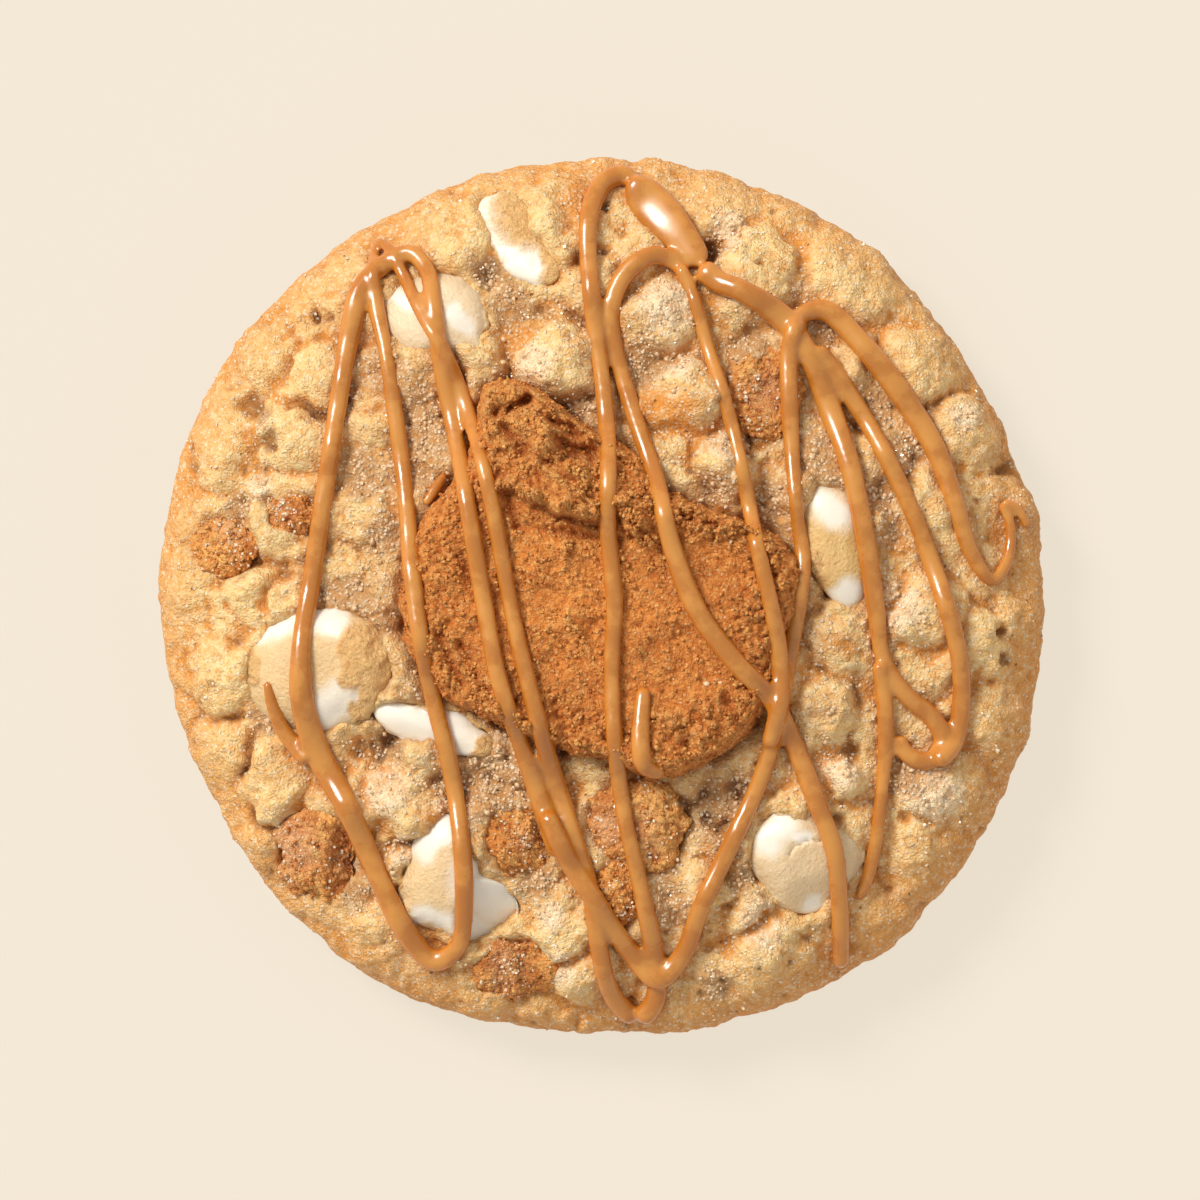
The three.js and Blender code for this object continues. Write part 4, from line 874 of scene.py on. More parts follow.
def breakup_group():
    """A soft mask with its edge broken up by noise."""
    if "Broken edge" in bpy.data.node_groups:
        return bpy.data.node_groups["Broken edge"]
    tree, nodes, given, result = new_group(
        "Broken edge", {"Mask": 0.0, "Noise": 0.5, "Breakup": 0.6}, ["Mask"])
    swing = nodes.times(nodes.minus(given["Noise"], 0.5), given["Breakup"])
    mask = nodes.spread(nodes.maths("ADD", given["Mask"], swing), 0.18, 0.72)
    nodes.fill(result, {"Mask": mask})
    return tree


def new_material(name):
    """A material, its nodes, its Principled shader's sockets and a vector in Object coordinates."""
    material = bpy.data.materials.new(name)
    material.use_nodes = True
    nodes = Nodes(material.node_tree)
    shader = material.node_tree.nodes["Principled BSDF"].inputs
    return material, nodes, shader, nodes.add("TexCoord")["Object"]


def crumb_material(name, grains, pores, pore_amount):
    """A material, its nodes, its Principled shader's sockets and its crumb, with so many grains and
    pores per metre."""
    material, nodes, shader, vector = new_material(name)
    crumb = nodes.add("Group", {
        "Vector": vector, "Grains per metre": grains, "Pores per metre": pores,
        "Pore amount": pore_amount}, node_tree=crumb_group())
    return material, nodes, shader, crumb


def dough_material(settings):
    material, nodes, shader, crumb = crumb_material("Baked cookie dough", 2100.0, 520.0, 0.4)
    mottle = crumb["Mottle"]
    tone = nodes.layers(settings.crust, (
        (nodes.spread(mottle, 0.45, 0.7), 0.3, settings.golden),
        # Rim browning, the dough's own, with painted shade on the side away from the key light and
        # down the steep side.
        (nodes.mask("rim"), 1, settings.golden),
        (nodes.broken("pale", mottle, 0.6), 1, settings.pale),
        (crumb["Crackle"], 0.5, settings.stain),
        # Painted shade: golden in folds, creases and hollows.
        (nodes.mask("creased"), 1, settings.golden),
        (crumb["Variety"], 0.42, settings.golden),
        (nodes.broken("wet", mottle, 0.7), 1, settings.wet),
        (nodes.broken("golden", mottle, 0.7), 1, settings.golden),
        (nodes.mask("stain"), 0.8, settings.stain),
        (crumb["Toasted"], 0.55, settings.golden),
        (crumb["Sugared"], 0.6, settings.pale),
        # Painted light: the tops of the grains are paler.
        (crumb["Grain"], 0.25, settings.pale),
        # Painted shade: the crevice colour in creases, hollows, pits, pores and beside pressed-in
        # pieces.
        (nodes.mask("crack"), 1, settings.crack),
        (crumb["Pores"], 0.6, settings.crack),
        (crumb["Glints"], 0.6, settings.glint)))
    dull = nodes.minus(0.58, nodes.times(nodes.mask("wet"), 0.25))
    nodes.fill(shader, {
        "Base Color": tone, "Roughness": nodes.minus(dull, nodes.times(crumb["Glints"], 0.4)),
        "Specular IOR Level": 0.35, "Normal": nodes.bump(crumb["Height"], 0.34 * MM)})
    return material


def biscuit_material(settings):
    material, nodes, shader, crumb = crumb_material("Speculoos crumb", 2300.0, 700.0, 0.35)
    tone = nodes.layers(settings.crumb, (
        (nodes.spread(crumb["Mottle"], 0.4, 0.65, 0.0, 0.4), 1, settings.dark),
        # The mask holds painted highlight on crests as well as lighter loose crumbs.
        (nodes.mask("bright"), 1, settings.bright),
        # The mask holds painted shade as well as the crumb's own darker tones.
        (nodes.mask("dark"), 1, settings.dark),
        (nodes.mask("sugar"), 1, settings.sugar),
        (crumb["Variety"], 0.45, settings.dark),
        (crumb["Toasted"], 0.4, settings.dark),
        (crumb["Sugared"], 0.5, settings.bright),
        # Painted light: the tops of the grains are lighter.
        (crumb["Grain"], 0.3, settings.bright),
        # Painted shade in the pores.
        (crumb["Pores"], 0.6, settings.dark),
        (crumb["Glints"], 0.55, settings.glint)))
    nodes.fill(shader, {
        "Base Color": tone, "Roughness": nodes.minus(0.6, nodes.times(crumb["Glints"], 0.35)),
        "Specular IOR Level": 0.3, "Normal": nodes.bump(crumb["Height"], 0.42 * MM)})
    return material


def chip_material(settings):
    material, nodes, shader, crumb = crumb_material("White chocolate", 1900.0, 400.0, 0.2)
    coat = nodes.broken("coat", crumb["Mottle"], 0.7)
    toasted = nodes.mask("toasted")
    cream = nodes.times(toasted, 0.6)
    tone = nodes.layers(settings.white, (
        (toasted, 1, settings.toasted),
        (coat, 1, settings.coat),
        (nodes.times(crumb["Toasted"], nodes.maths("MAXIMUM", cream, coat)), 0.5, settings.browned),
        (nodes.times(crumb["Pores"], coat), 0.6, settings.speck)))
    grainy = nodes.maths("MAXIMUM", coat, nodes.maths("MULTIPLY_ADD", cream, 0.6, 0.04))
    nodes.fill(shader, {
        "Base Color": tone, "Roughness": nodes.maths("MULTIPLY_ADD", coat, 0.3, 0.36),
        "Subsurface Weight": 0.5, "Subsurface Radius": (1.0, 0.8, 0.55),
        "Subsurface Scale": 1.2 * MM,
        "Normal": nodes.bump(nodes.times(crumb["Height"], grainy), 0.5 * MM)})
    return material


def caramel_material(settings):
    material, nodes, shader, vector = new_material("Caramel")
    streaks = nodes.noise(vector, 260.0, 3.0)["Fac"]
    ripple = nodes.noise(vector, 420.0, 2.0)["Fac"]
    # Painted: the strand's sides, seen at a slant, turn to the deep colour, standing in for shade
    # and for light passing through them.
    facing = nodes.add("LayerWeight", {"Blend": 0.4})["Facing"]
    tone = nodes.layers(settings.caramel, (
        (nodes.spread(streaks, 0.38, 0.62), 1, settings.thin), (facing, 0.85, settings.deep)))
    nodes.fill(shader, {
        "Base Color": tone, "Roughness": nodes.spread(streaks, 0.3, 0.7, 0.22, 0.34),
        "Subsurface Weight": 0.5, "Subsurface Radius": (1.0, 0.5, 0.2), "Subsurface Scale": MM,
        "Coat Weight": 0.5, "Coat Roughness": 0.16,
        "Normal": nodes.bump(ripple, 0.2 * MM, 0.12)})
    return material


def crystal_material(name, tint, dull):
    material, nodes, shader, vector = new_material(name)
    cloud = nodes.noise(vector, 900.0, 2.0)["Fac"]
    shade = (*(0.8 * part for part in tint[:3]), 1.0)
    tone = nodes.mix(nodes.spread(cloud, 0.35, 0.65), tint, shade)
    nodes.fill(shader, {"Base Color": tone, "Roughness": dull})
    return material


def floor_material(settings):
    """Glows with most of the colour it is seen in, and takes soft shadows with the rest."""
    material, nodes, shader, _ = new_material("Plain floor")
    even_light = settings.sky + settings.key * math.cos(settings.key_tilt) / math.pi
    matte = (1 - settings.floor_glow) / even_light
    nodes.fill(shader, {
        "Base Color": (*(matte * part for part in settings.floor[:3]), 1), "Roughness": 1.0,
        "Specular IOR Level": 0.0, "Emission Color": settings.floor,
        "Emission Strength": settings.floor_glow})
    return material


# ---------------------------------------------------------------------------------------------
# Forms. Lengths in them are in mm.

STRAND_STEP = 0.4  # Between the places of a strand's way.
SHOULDERS = (-0.3, 0, 0.3)  # Where a strand rests, in shares of its width from its middle.
OWN_STEPS = 14  # A strand crosses itself no sooner than this many steps on.
FAR_OFF = 99
SLIM, WIDE = 2.6, 4.4  # A strand gets flatter from the first width to the second.
AROUND = 16  # Sides of a strand's tube.
APART = 10  # Between the flat grids that become the tubes.
SMOOTHINGS = 5  # Of the fused strands.
LUMP_GRID = 8.4  # Spacing of the small lumps that fill in between the placed ones.
LUMP_ROWS = 7  # Rows of them on either side of the middle.
LUMP_BLEND = 9  # How sharply one lump gives way to the next.
SEAT_REACH = 6  # How far from its outline a pressed-in piece works on the dough.
LOBES, SMALL_LOBES, GRAINS, PORES = 4.4, 2.1, 0.8, 2.3  # Sizes of the cells in the dough's skin.
PIECES, CRUMBS = 1.5, 0.6  # Sizes of the cells that a chunk is broken into.
BISCUIT_CRUMBS = 0.62  # The same on the big biscuit.
INSET_DIVISIONS = (6, 8)  # Of the disc that a chip or a chunk is made from.
GRAIN_SPACING = 3  # Between the copies of a grain, before they are put in their places.
STEEPEST = 0.15  # Grains lie where the outward direction's upward part is at least this.
GRAIN_SHIFT = 0.15  # How far they lie off the vertices.


def in_mm(settings, *names):
    return [PER_MM * getattr(settings, name) for name in names]


def strand_points(rows):
    """A strand's way, as places of [x, y, width]."""
    rows = np.asarray(rows, float)
    gaps = np.hypot(*np.diff(rows[:, :2], axis=0).T)
    return curve_through(rows, np.maximum(2, np.ceil(gaps / STRAND_STEP)).astype(int))


def strand_gap(place):
    """How far each place lies in plan from the nearest strand's edge."""
    ways = np.vstack([strand_points(rows) for rows in STRANDS])
    tree = KDTree(len(ways))
    for index, (x, y, _) in enumerate(ways):
        tree.insert((x, y, 0), index)
    tree.balance()
    found = [tree.find((x, y, 0)) for x, y, _ in place]
    return np.array([distance - ways[nearest, 2] / 2 for _, nearest, distance in found])


def inset_pieces():
    """Centre, outline, depth of the seat and snugness of everything pressed into the dough."""
    return [(BISCUIT_CENTRE, closed_outline(BISCUIT_OUTLINE), 2.2, 0)] + [
        (piece["at"], closed_outline(piece["outline"]), 1.0, snug)
        for pieces, snug in ((CHIPS, 1), (CHUNKS, 0.5)) for piece in pieces]


def outline_gap(place, centre, radius_at):
    """How far a place lies outside an outline, along its radius."""
    across, along = place[:, 0] - centre[0], place[:, 1] - centre[1]
    return np.hypot(across, along) - radius_at(np.arctan2(along, across))


def all_lumps():
    """The placed lumps, and a loose grid of smaller ones between them."""
    radius, height, jitter, room = 4, 0.8, 0.6, 0.75
    found = list(LUMPS)
    for row in range(-LUMP_ROWS, LUMP_ROWS + 1):
        for column in range(-LUMP_ROWS, LUMP_ROWS + 1):
            x = LUMP_GRID * (column + (row & 1) / 2 + jitter * (chance(column, row, 11) - 0.5))
            y = LUMP_GRID * (row + jitter * (chance(column, row, 12) - 0.5))
            crowded = any(math.hypot(other[0] - x, other[1] - y) < room * (other[2] + radius)
                          for other in LUMPS)
            if not crowded:
                found.append([x, y, radius * (0.8 + 0.4 * chance(column, row, 13)),
                              height * (0.5 + chance(column, row, 14))])
    return found


def lump_relief(place):
    """How far the lumps lift the dough's skin, and how much a place lies in a crease of theirs."""
    plan = place[:, :2]
    bent = plan + shove(plan, 1.0, 4.2, 23, step=6)
    nearest, second = np.full((2, len(place)), np.inf)
    total, height = np.zeros((2, len(place)))
    for x, y, radius, rise in all_lumps():
        distance = np.hypot(bent[:, 0] - x, bent[:, 1] - y) / radius
        share = np.exp(-LUMP_BLEND * distance)
        total += share
        height += share * rise * np.maximum(0, 1 - distance * distance)
        second = np.minimum(second, np.maximum(nearest, distance))
        nearest = np.minimum(nearest, distance)
    open_share = 0.15 + 0.85 * smooth(-0.3, 0.5, noise(plan, 7.5, 37))
    crease = bell(second - nearest, 0.34) * open_share
    dip = sum(depth * np.exp(-square_gap(place, x, y, radius)) for x, y, radius, depth in HOLLOWS)
    return 1.7 * height / total - 0.75 * crease - dip + 0.25 * noise(plan, 3.1, 21), crease


def seat_relief(place):
    """What the pressed-in pieces do to the dough: how deep their seats are, how much painted shade
    falls beside them, and how far it swells round them. Snug pieces have it close up to them."""
    depth, beside, swell = np.zeros((3, len(place)))
    creep = 0.9 * rough(place, 2.2, 175)
    for centre, radius_at, reach, snug in inset_pieces():
        gap = outline_gap(place, centre, radius_at) + snug * creep
        near = gap < SEAT_REACH
        depth = np.maximum(depth, near * smooth(0.1 - 0.5 * snug, -1.6, gap) * (1.6 + reach))
        beside = np.maximum(beside, near * (1 - 0.8 * snug) * bell(gap - 0.2, 0.8))
        swell += near * ((0.35 + 0.3 * snug) * bell(gap - 1.8 + snug, 1.2)
                         - 0.45 * (1 - snug) * bell(gap - 0.1, 0.5))
    return depth, beside, swell


def pit_relief(place):
    """How deep the torn-edged pits are, and how much a place lies in one."""
    torn = place + shove(place, 0.8, 1.5, 61, step=4)
    depth, inside = np.zeros((2, len(place)))
    for x, y, size, deepest in PITS:
        pit = np.exp(-square_gap(torn, x, y, size) ** 1.5)
        inside = np.maximum(inside, pit)
        depth += deepest * pit
    return depth, inside


def skin_relief(place, pale, wet, calm):
    """How far lobes, small lobes, sugary grains and pores lift the dough's skin, and how much a
    place lies in a fold between lobes, between small lobes, between grains and in a pore."""
    bent = place + shove(place, 0.9, 2.6, 71)
    far, edge, _ = cells(bent, LOBES, 101)
    fold = bell(edge, 0.16) * smooth(0, 0.6, noise(place, 6, 105))
    lift = (0.8 * (0.45 - far * far) - 0.25 * fold) * (1 - 0.7 * calm)

    far, edge, pick = cells(bent, SMALL_LOBES, 121)
    small_fold = bell(edge, 0.1) * smooth(0.6, 1, pick)
    lift += (0.34 * (0.4 - far * far) - 0.2 * small_fold) * (1 - 0.5 * calm)

    far, edge, pick = cells(place + shove(place, 0.35, 0.9, 131, 2), GRAINS, 141)
    line = bell(edge, 0.13)
    grainy = 0.5 + 0.6 * pale + 1.1 * wet
    lift += grainy * (0.26 * (1 - far) + 0.18 * (pick - 0.5) - 0.05 * line)

    far, _, pick = cells(place, PORES, 151)
    pore = np.where(pick > 0.7, bell(far, 0.13), 0)
    lift += 0.3 * rough(place, 1.3, 161) + 0.4 * rough(place, 6.5, 171, 2) * calm
    return lift - 0.4 * pore - 0.4 * wet, fold, small_fold, line, pore


def dome_at(settings, out):
    """The dome's height at a distance from the middle."""
    rim, low, top = in_mm(settings, "rim_radius", "rim_height", "dome_height")
    return low + (top - low) * np.sqrt(1 - np.minimum(1, out / rim) ** settings.fullness)


def dough_profile(settings):
    """The dough's section, from the top's middle over the rim to the foot."""
    rim, low, foot = in_mm(settings, "rim_radius", "rim_height", "foot_radius")
    out = rim * np.sin(np.linspace(0, math.pi / 2, 200))
    down = np.linspace(0, math.pi / 2, 30)[1:]
    return np.vstack([
        np.stack([out, dome_at(settings, out)], axis=1),
        np.stack([foot + (rim - foot) * np.cos(down), low * (1 - np.sin(down))], axis=1)])


def model_dough(settings):
    """The dough's skin: lumps and creases, pits, sugary grains in its valleys, and seats for what
    is pressed into it."""
    radius, rim_height = in_mm(settings, "rim_radius", "rim_height")
    mesh, place, normal, ring = turned_form(
        "cookie_dough", (13, 13), dough_profile(settings), closed_outline(DOUGH_OUTLINE), radius,
        (0, 0), dense=[(0.885, 47.6)])
    turn = np.arctan2(place[:, 1], place[:, 0])
    edge = np.hypot(place[:, 0], place[:, 1]) / radius
    wet, pale, golden = (patches(place, spots)
                         for spots in (WET_PATCHES, PALE_PATCHES, GOLDEN_PATCHES))

    # The rim is calmer than the middle, most of all at the right.
    quiet = 0.2 * smooth(0.1, 0.7, np.cos(turn - 0.35))
    calm = smooth(0.66 - quiet, 0.96 - quiet, edge)
    lumps, crease = lump_relief(place)
    crease *= 1 - 0.8 * smooth(0.8, 0.95, edge)
    seat, beside, swell = seat_relief(place)
    pit_depth, pits = pit_relief(place)
    texture, fold, small_fold, line, pore = skin_relief(place, pale, wet, calm)
    lift = lumps * (1 - 0.5 * smooth(0.86, 0.99, edge)) + swell - pit_depth + texture
    lift *= smooth(0.8, rim_height + 4, place[:, 2])
    dent = hollowness(mesh, lift, 24)

    below = ring > RIM
    place = place + normal * lift[:, None]
    place[:, 2] -= np.where(below, 0, seat)
    place[:, 2] = np.where(below, 0, np.maximum(place[:, 2], 0))

    # The masks that the material tints by.
    stain = np.exp(-np.maximum(strand_gap(place), 0) / 0.9)
    # Painted shade: creases, folds, the dough beside pressed-in pieces, pits, pores and hollows get
    # the crevice colour.
    shade = (0.3 * crease + 0.2 * fold) * (1 - calm) + 0.7 * beside
    crack = np.maximum.reduce([
        0.5 * shade * (0.7 + 0.5 * rough(place, 1.3, 191, 2)), 0.65 * pits, 0.75 * pore,
        0.8 * smooth(0.26, 0.8, dent) * smooth(-0.15, 0.45, noise(place, 5.5, 195))])
    # The rim's browning is the dough's own; the extra golden towards the lower right, away from the
    # key light, and down the steep side is painted shade.
    rim_browning_and_shade = smooth(0.84, 1.0, edge) * (0.65 + 0.2 * smooth(-0.2, 1, np.cos(turn + 0.9)))
    # Painted shade: golden laid into folds, creases, grain lines and hollows.
    creased = 0.5 * np.maximum.reduce([fold, small_fold, crease]) * (1 - 0.4 * calm) + 0.05 * line
    creased = np.maximum(creased, 0.95 * smooth(0, 0.38, dent))
    inner = 0.4 * smooth(0.88, 0.5, edge) * (0.7 + 0.8 * noise(place, 5, 197)) * (1 - pale)
    return mesh, place, {
        "wet": np.maximum(0.95 * wet + 0.3 * crease * (1 - calm), inner),
        "pale": pale,
        "golden": 0.75 * golden,
        "stain": stain * (0.55 + 0.45 * rough(place, 1.6, 181, 2)),
        "crack": crack,
        "rim": rim_browning_and_shade + 0.2 * smooth(9.5, 4.5, place[:, 2]),
        "creased": creased * (1 - 0.5 * wet)}


def model_biscuit(settings):
    """The big biscuit: a plateau with its broken ridge, ledge and near rim, all of sandy crumb."""
    radius, bottom, top = in_mm(settings, "radius", "bottom", "top")
    profile = profile_through([
        [0, top], [4, top], [radius - 8, top], [radius - 3, top - 0.2], [radius - 0.8, top - 1.3],
        [radius, top - 3.6], [radius - 0.4, bottom + 2], [radius - 2, bottom]], 12)
    outline = closed_outline(BISCUIT_OUTLINE)

    def ragged(angle):
        around = np.stack([20 * np.cos(angle), 20 * np.sin(angle)], axis=1)
        return outline(angle) + 0.35 * rough(around, 2.6, 201)

    mesh, place, normal, ring = turned_form(
        "speculoos_biscuit_crumb", (13, 11), profile, ragged, radius, BISCUIT_CENTRE)
    up = smooth(0.1, 0.9, normal[:, 2])
    bent = place + shove(place, 0.5, 1.6, 205, 2, step=2)
    broad, crests, cracks = (
        ridges(bent, rows) for rows in (BISCUIT_RIDGES, BISCUIT_CRESTS, BISCUIT_CRACKS))
    notch = ridges(place, BISCUIT_NOTCHES)
    swell = 0.5 * noise(bent[:, :2], 2.4, 31) + 0.4 * noise(bent[:, :2], 5.3, 32)
    loose = np.maximum(smooth(0.4, 2, broad), smooth(0.15, 0.6, crests))
    crumbly = 0.25 + 0.75 * np.maximum(loose, smooth(0.75, 1.0, ring / 0.62))

    bent = place + shove(place, 0.35, 1.3, 211, 2)
    far, edge, name = cells(bent, PIECES, 221)
    lift = broad + 1.7 * crests - 1.2 * cracks + swell - notch + 0.12 * rough(place, 0.9, 251)
    lift += crumbly * (0.55 * (name - 0.5) + 0.25 * (1 - far) - 0.35 * bell(edge, 0.15))
    far, edge, pick = cells(bent, BISCUIT_CRUMBS, 241)
    lift += (0.24 + 0.15 * crumbly) * (1 - far) + 0.22 * (pick - 0.5) * (0.6 + crumbly)
    lift *= up
    dent = hollowness(mesh, lift, 14)
    sideways = (1 - up) * (0.3 * rough(place, 1.6, 261) + 0.2 * (pick - 0.5))
    sideways *= smooth(0.1, 1.2, place[:, 2] - bottom)
    place = place + normal * sideways[:, None]
    place[:, 2] += lift

    # Painted shade: darker in hollows, cracks, notches, between broken pieces and on the steep
    # sides.
    dark = np.clip(0.8 * smooth(0.05, 0.7, dent) + 0.5 * cracks + 0.4 * notch
                   + 0.3 * crumbly * bell(edge, 0.12), 0, 1)
    dark = np.maximum(0.9 * dark, 0.35 * (1 - up))
    plateau = np.exp(-(((place[:, 0] + 3) / 8) ** 2 + ((place[:, 1] - 1) / 9) ** 2) ** 2)
    # Darker off the flat middle and in the listed patches.
    browned = np.maximum(0.5 * (1 - plateau), patches(place, BISCUIT_DARKER_PATCHES))
    # Painted highlight: lighter along crests and where the crumb stands above its surroundings;
    # loose crumbs on the ridges add their own lighter tone.
    crest = 0.6 * loose * (0.4 + 0.6 * name) + 0.6 * smooth(0, 0.5, -dent)
    return mesh, place, {
        "bright": crest * (1 - dark) + 0.3 * smooth(0.7, 1, pick),
        "dark": np.maximum(dark, browned * (0.45 + 0.2 * rough(place, 2.4, 281, 2)))}


def model_inset(name, piece, settings, raggedness, seed):
    """The plain form of a chip or chunk: leaning with the dome, cut by its facets. Returns what
    turned_form does, and the places in plan about the piece's middle."""
    away = math.hypot(*piece["at"])
    seat = dome_at(settings, away)
    rise = piece["rise"]
    mean = sum(radius for _, radius in piece["outline"]) / len(piece["outline"])
    profile = profile_through([
        [0, seat + rise], [0.35 * mean, seat + rise], [0.7 * mean, seat + 0.75 * rise],
        [0.92 * mean, seat + 0.25 * rise], [mean, seat - 0.5], [0.7 * mean, seat - piece["drop"]]],
        10)
    outline = closed_outline(piece["outline"])

    def ragged(angle):
        around = np.stack([mean * np.cos(angle), mean * np.sin(angle)], axis=1)
        return outline(angle) * (1 + raggedness * rough(around, 0.5 * mean, seed))

    mesh, place, normal, ring = turned_form(
        name, INSET_DIVISIONS, profile, ragged, mean, piece["at"])
    local = place[:, :2] - piece["at"]
    for direction, fall, distance in piece["facets"]:
        angle = math.radians(direction)
        beyond = local @ (math.cos(angle), math.sin(angle)) - distance
        plane = seat + rise - math.tan(math.radians(fall)) * beyond
        blend = np.clip(0.5 + (plane - place[:, 2]) / 0.7, 0, 1)
        cut = place[:, 2] * blend + plane * (1 - blend) - 0.35 * blend * (1 - blend)
        place[:, 2] = np.where(normal[:, 2] > 0.05, np.minimum(place[:, 2], cut), place[:, 2])
    lean = dome_at(settings, away + 0.5) - dome_at(settings, away - 0.5)
    place[:, 2] += lean * (local @ piece["at"]) / away
    return mesh, place, normal, ring, local


def model_chip(index, piece, settings):
    """A chip: smooth where it is white, lumpy where dough coats it."""
    seed = 300 + 10 * index
    mesh, place, normal, ring, local = model_inset(
        f"white_chip_{index + 1}_chocolate", piece, settings, 0.03, seed)
    wobble = local + shove(place, 0.5, 1.6, seed + 5, 2)[:, :2]
    white = strokes(wobble, piece["white"], 0.6)
    edge = smooth(0.56, 0.7, ring + 0.12 * rough(place, 1.8, seed + 1, 2))
    coat = np.maximum(strokes(wobble, piece["coat"], 0.9), edge * (1 - 0.8 * white))
    far, _, name = cells(place, 0.75, seed + 2)
    lumpy = 0.1 + 0.25 * name + 0.2 * (1 - far) + 0.3 * rough(place, 1.1, seed + 4)
    lift = 0.05 * rough(place, 2.2, seed + 3, 2) + coat * lumpy
    if piece is CHIPS[-1]:
        at = np.array(piece["at"])
        for start, end in zip(CHIP_CRACK, CHIP_CRACK[1:]):
            lift -= 0.5 * bell(segment_gap(place, at + start, at + end), 0.13)
    place = place + normal * (lift * smooth(1, 0.9, ring))[:, None]
    toasted = patches(local, piece["toasted"]) * (1 - 0.7 * white)
    return mesh, place, {
        "coat": coat, "toasted": np.maximum(piece["cream"] * (1 - white), toasted)}


def model_chunk(index, piece, settings):
    """A chunk: broken pieces of crumb, with single crumbs on them."""
    seed = 400 + 10 * index
    mesh, place, normal, ring, local = model_inset(
        f"biscuit_chunk_{index + 1}_crumb", piece, settings, 0.12, seed)
    bent = place + shove(place, 0.25, 0.9, seed + 11, 2)
    _, edge, name = cells(bent, PIECES, seed + 1)
    far, _, pick = cells(bent, CRUMBS, seed + 2)
    lift = 0.35 * (name - 0.45) - 0.12 * bell(edge, 0.12)
    lift += 0.3 * (pick - 0.5) + 0.2 * (1 - far) + 0.4 * rough(place, 2.8, seed + 3, 4)
    dent = hollowness(mesh, lift, 40)
    place = place + normal * (lift * smooth(1, 0.85, ring))[:, None]
    bright, dark, sugar = (patches(local, piece[name]) * (0.75 + 0.5 * pick)
                           for name in ("bright", "dark", "sugar"))
    # Painted shade in hollows and painted highlight on crests, over the listed patches.
    crest = smooth(0, 0.45, -dent)
    return mesh, place, {
        "bright": bright + 0.35 * smooth(0.7, 1, pick) + 0.6 * crest + 0.15,
        "dark": dark + 0.7 * smooth(0.05, 0.4, dent) - 0.4 * crest, "sugar": sugar}


def surface_tree(pieces):
    """Everything laid so far as one search tree, in metres."""
    shape = bmesh.new()
    for piece in pieces:
        shape.from_mesh(piece.data)
    tree = BVHTree.FromBMesh(shape)
    shape.free()
    return tree


def support_under(tree, way):
    """Height of what lies under each place of a strand, its middle and both its shoulders, and the
    directions across the strand."""
    above, table = 50 * MM, 5.0
    ahead = np.gradient(way[:, :2], axis=0)
    aside = np.stack([-ahead[:, 1], ahead[:, 0]], axis=1)
    aside /= np.maximum(np.linalg.norm(aside, axis=1), 1e-9)[:, None]
    heights = []
    for side in SHOULDERS:
        spots = (way[:, :2] + side * way[:, 2:3] * aside) * MM
        hits = [tree.ray_cast(Vector((x, y, above)), Vector((0, 0, -1)))[0] for x, y in spots]
        heights.append([table if hit is None else hit.z * PER_MM for hit in hits])
    left, middle, right = np.array(heights)
    return np.maximum(middle, 0.5 * (left + right)), aside


def soften(values, reach):
    """A running mean with soft ends."""
    reach = min(reach, (len(values) - 1) // 2)
    window = np.hanning(2 * reach + 3)[1:-1]
    padded = np.pad(values, reach, mode="edge")
    return np.convolve(padded, window / window.sum(), mode="valid")


def over_others(way, height, others, ahead):
    """The height of a strand raised over the others, rows of [x, y, height, width]. Where ahead is
    given, the last rows are the strand's own, and it crosses only those far enough behind."""
    gap = np.hypot(way[:, None, 0] - others[None, :, 0], way[:, None, 1] - others[None, :, 1])
    if ahead:
        order = np.arange(len(way))
        gap[:, -len(way):][order[None, :] > order[:, None] - ahead] = FAR_OFF
    span = 0.5 * others[:, 3] + 0.1
    crown = others[:, 2] + 0.5 * others[:, 3] * np.sqrt(np.clip(1 - (gap / span) ** 2, 0, 1))
    crown = np.where(gap < span, crown, -np.inf).max(axis=1)
    return np.maximum(height, soften(np.maximum(crown, height), 5))


def lay_strands(tree):
    """Each strand's way, its directions across, widths and heights, laid over the cookie and over
    the strands before it."""
    laid = []
    done = np.empty((0, 4))
    for index, rows in enumerate(STRANDS):
        way = strand_points(rows)
        under, aside = support_under(tree, way)
        width = way[:, 2] * (1 + 0.06 * noise(way[:, :2], 5.3, 500 + index))
        height = soften(np.maximum(soften(under, 9), soften(under, 3) - 0.25 * width), 4)
        if laid:
            height = over_others(way, height, done, 0)
        own = np.column_stack([way[:, :2], height, width])
        height = over_others(way, height, np.vstack([done, own]), OWN_STEPS)
        laid.append((way[:, :2], aside, width, height))
        done = np.vstack([done, np.column_stack([way[:, :2], height, width])])
    return laid


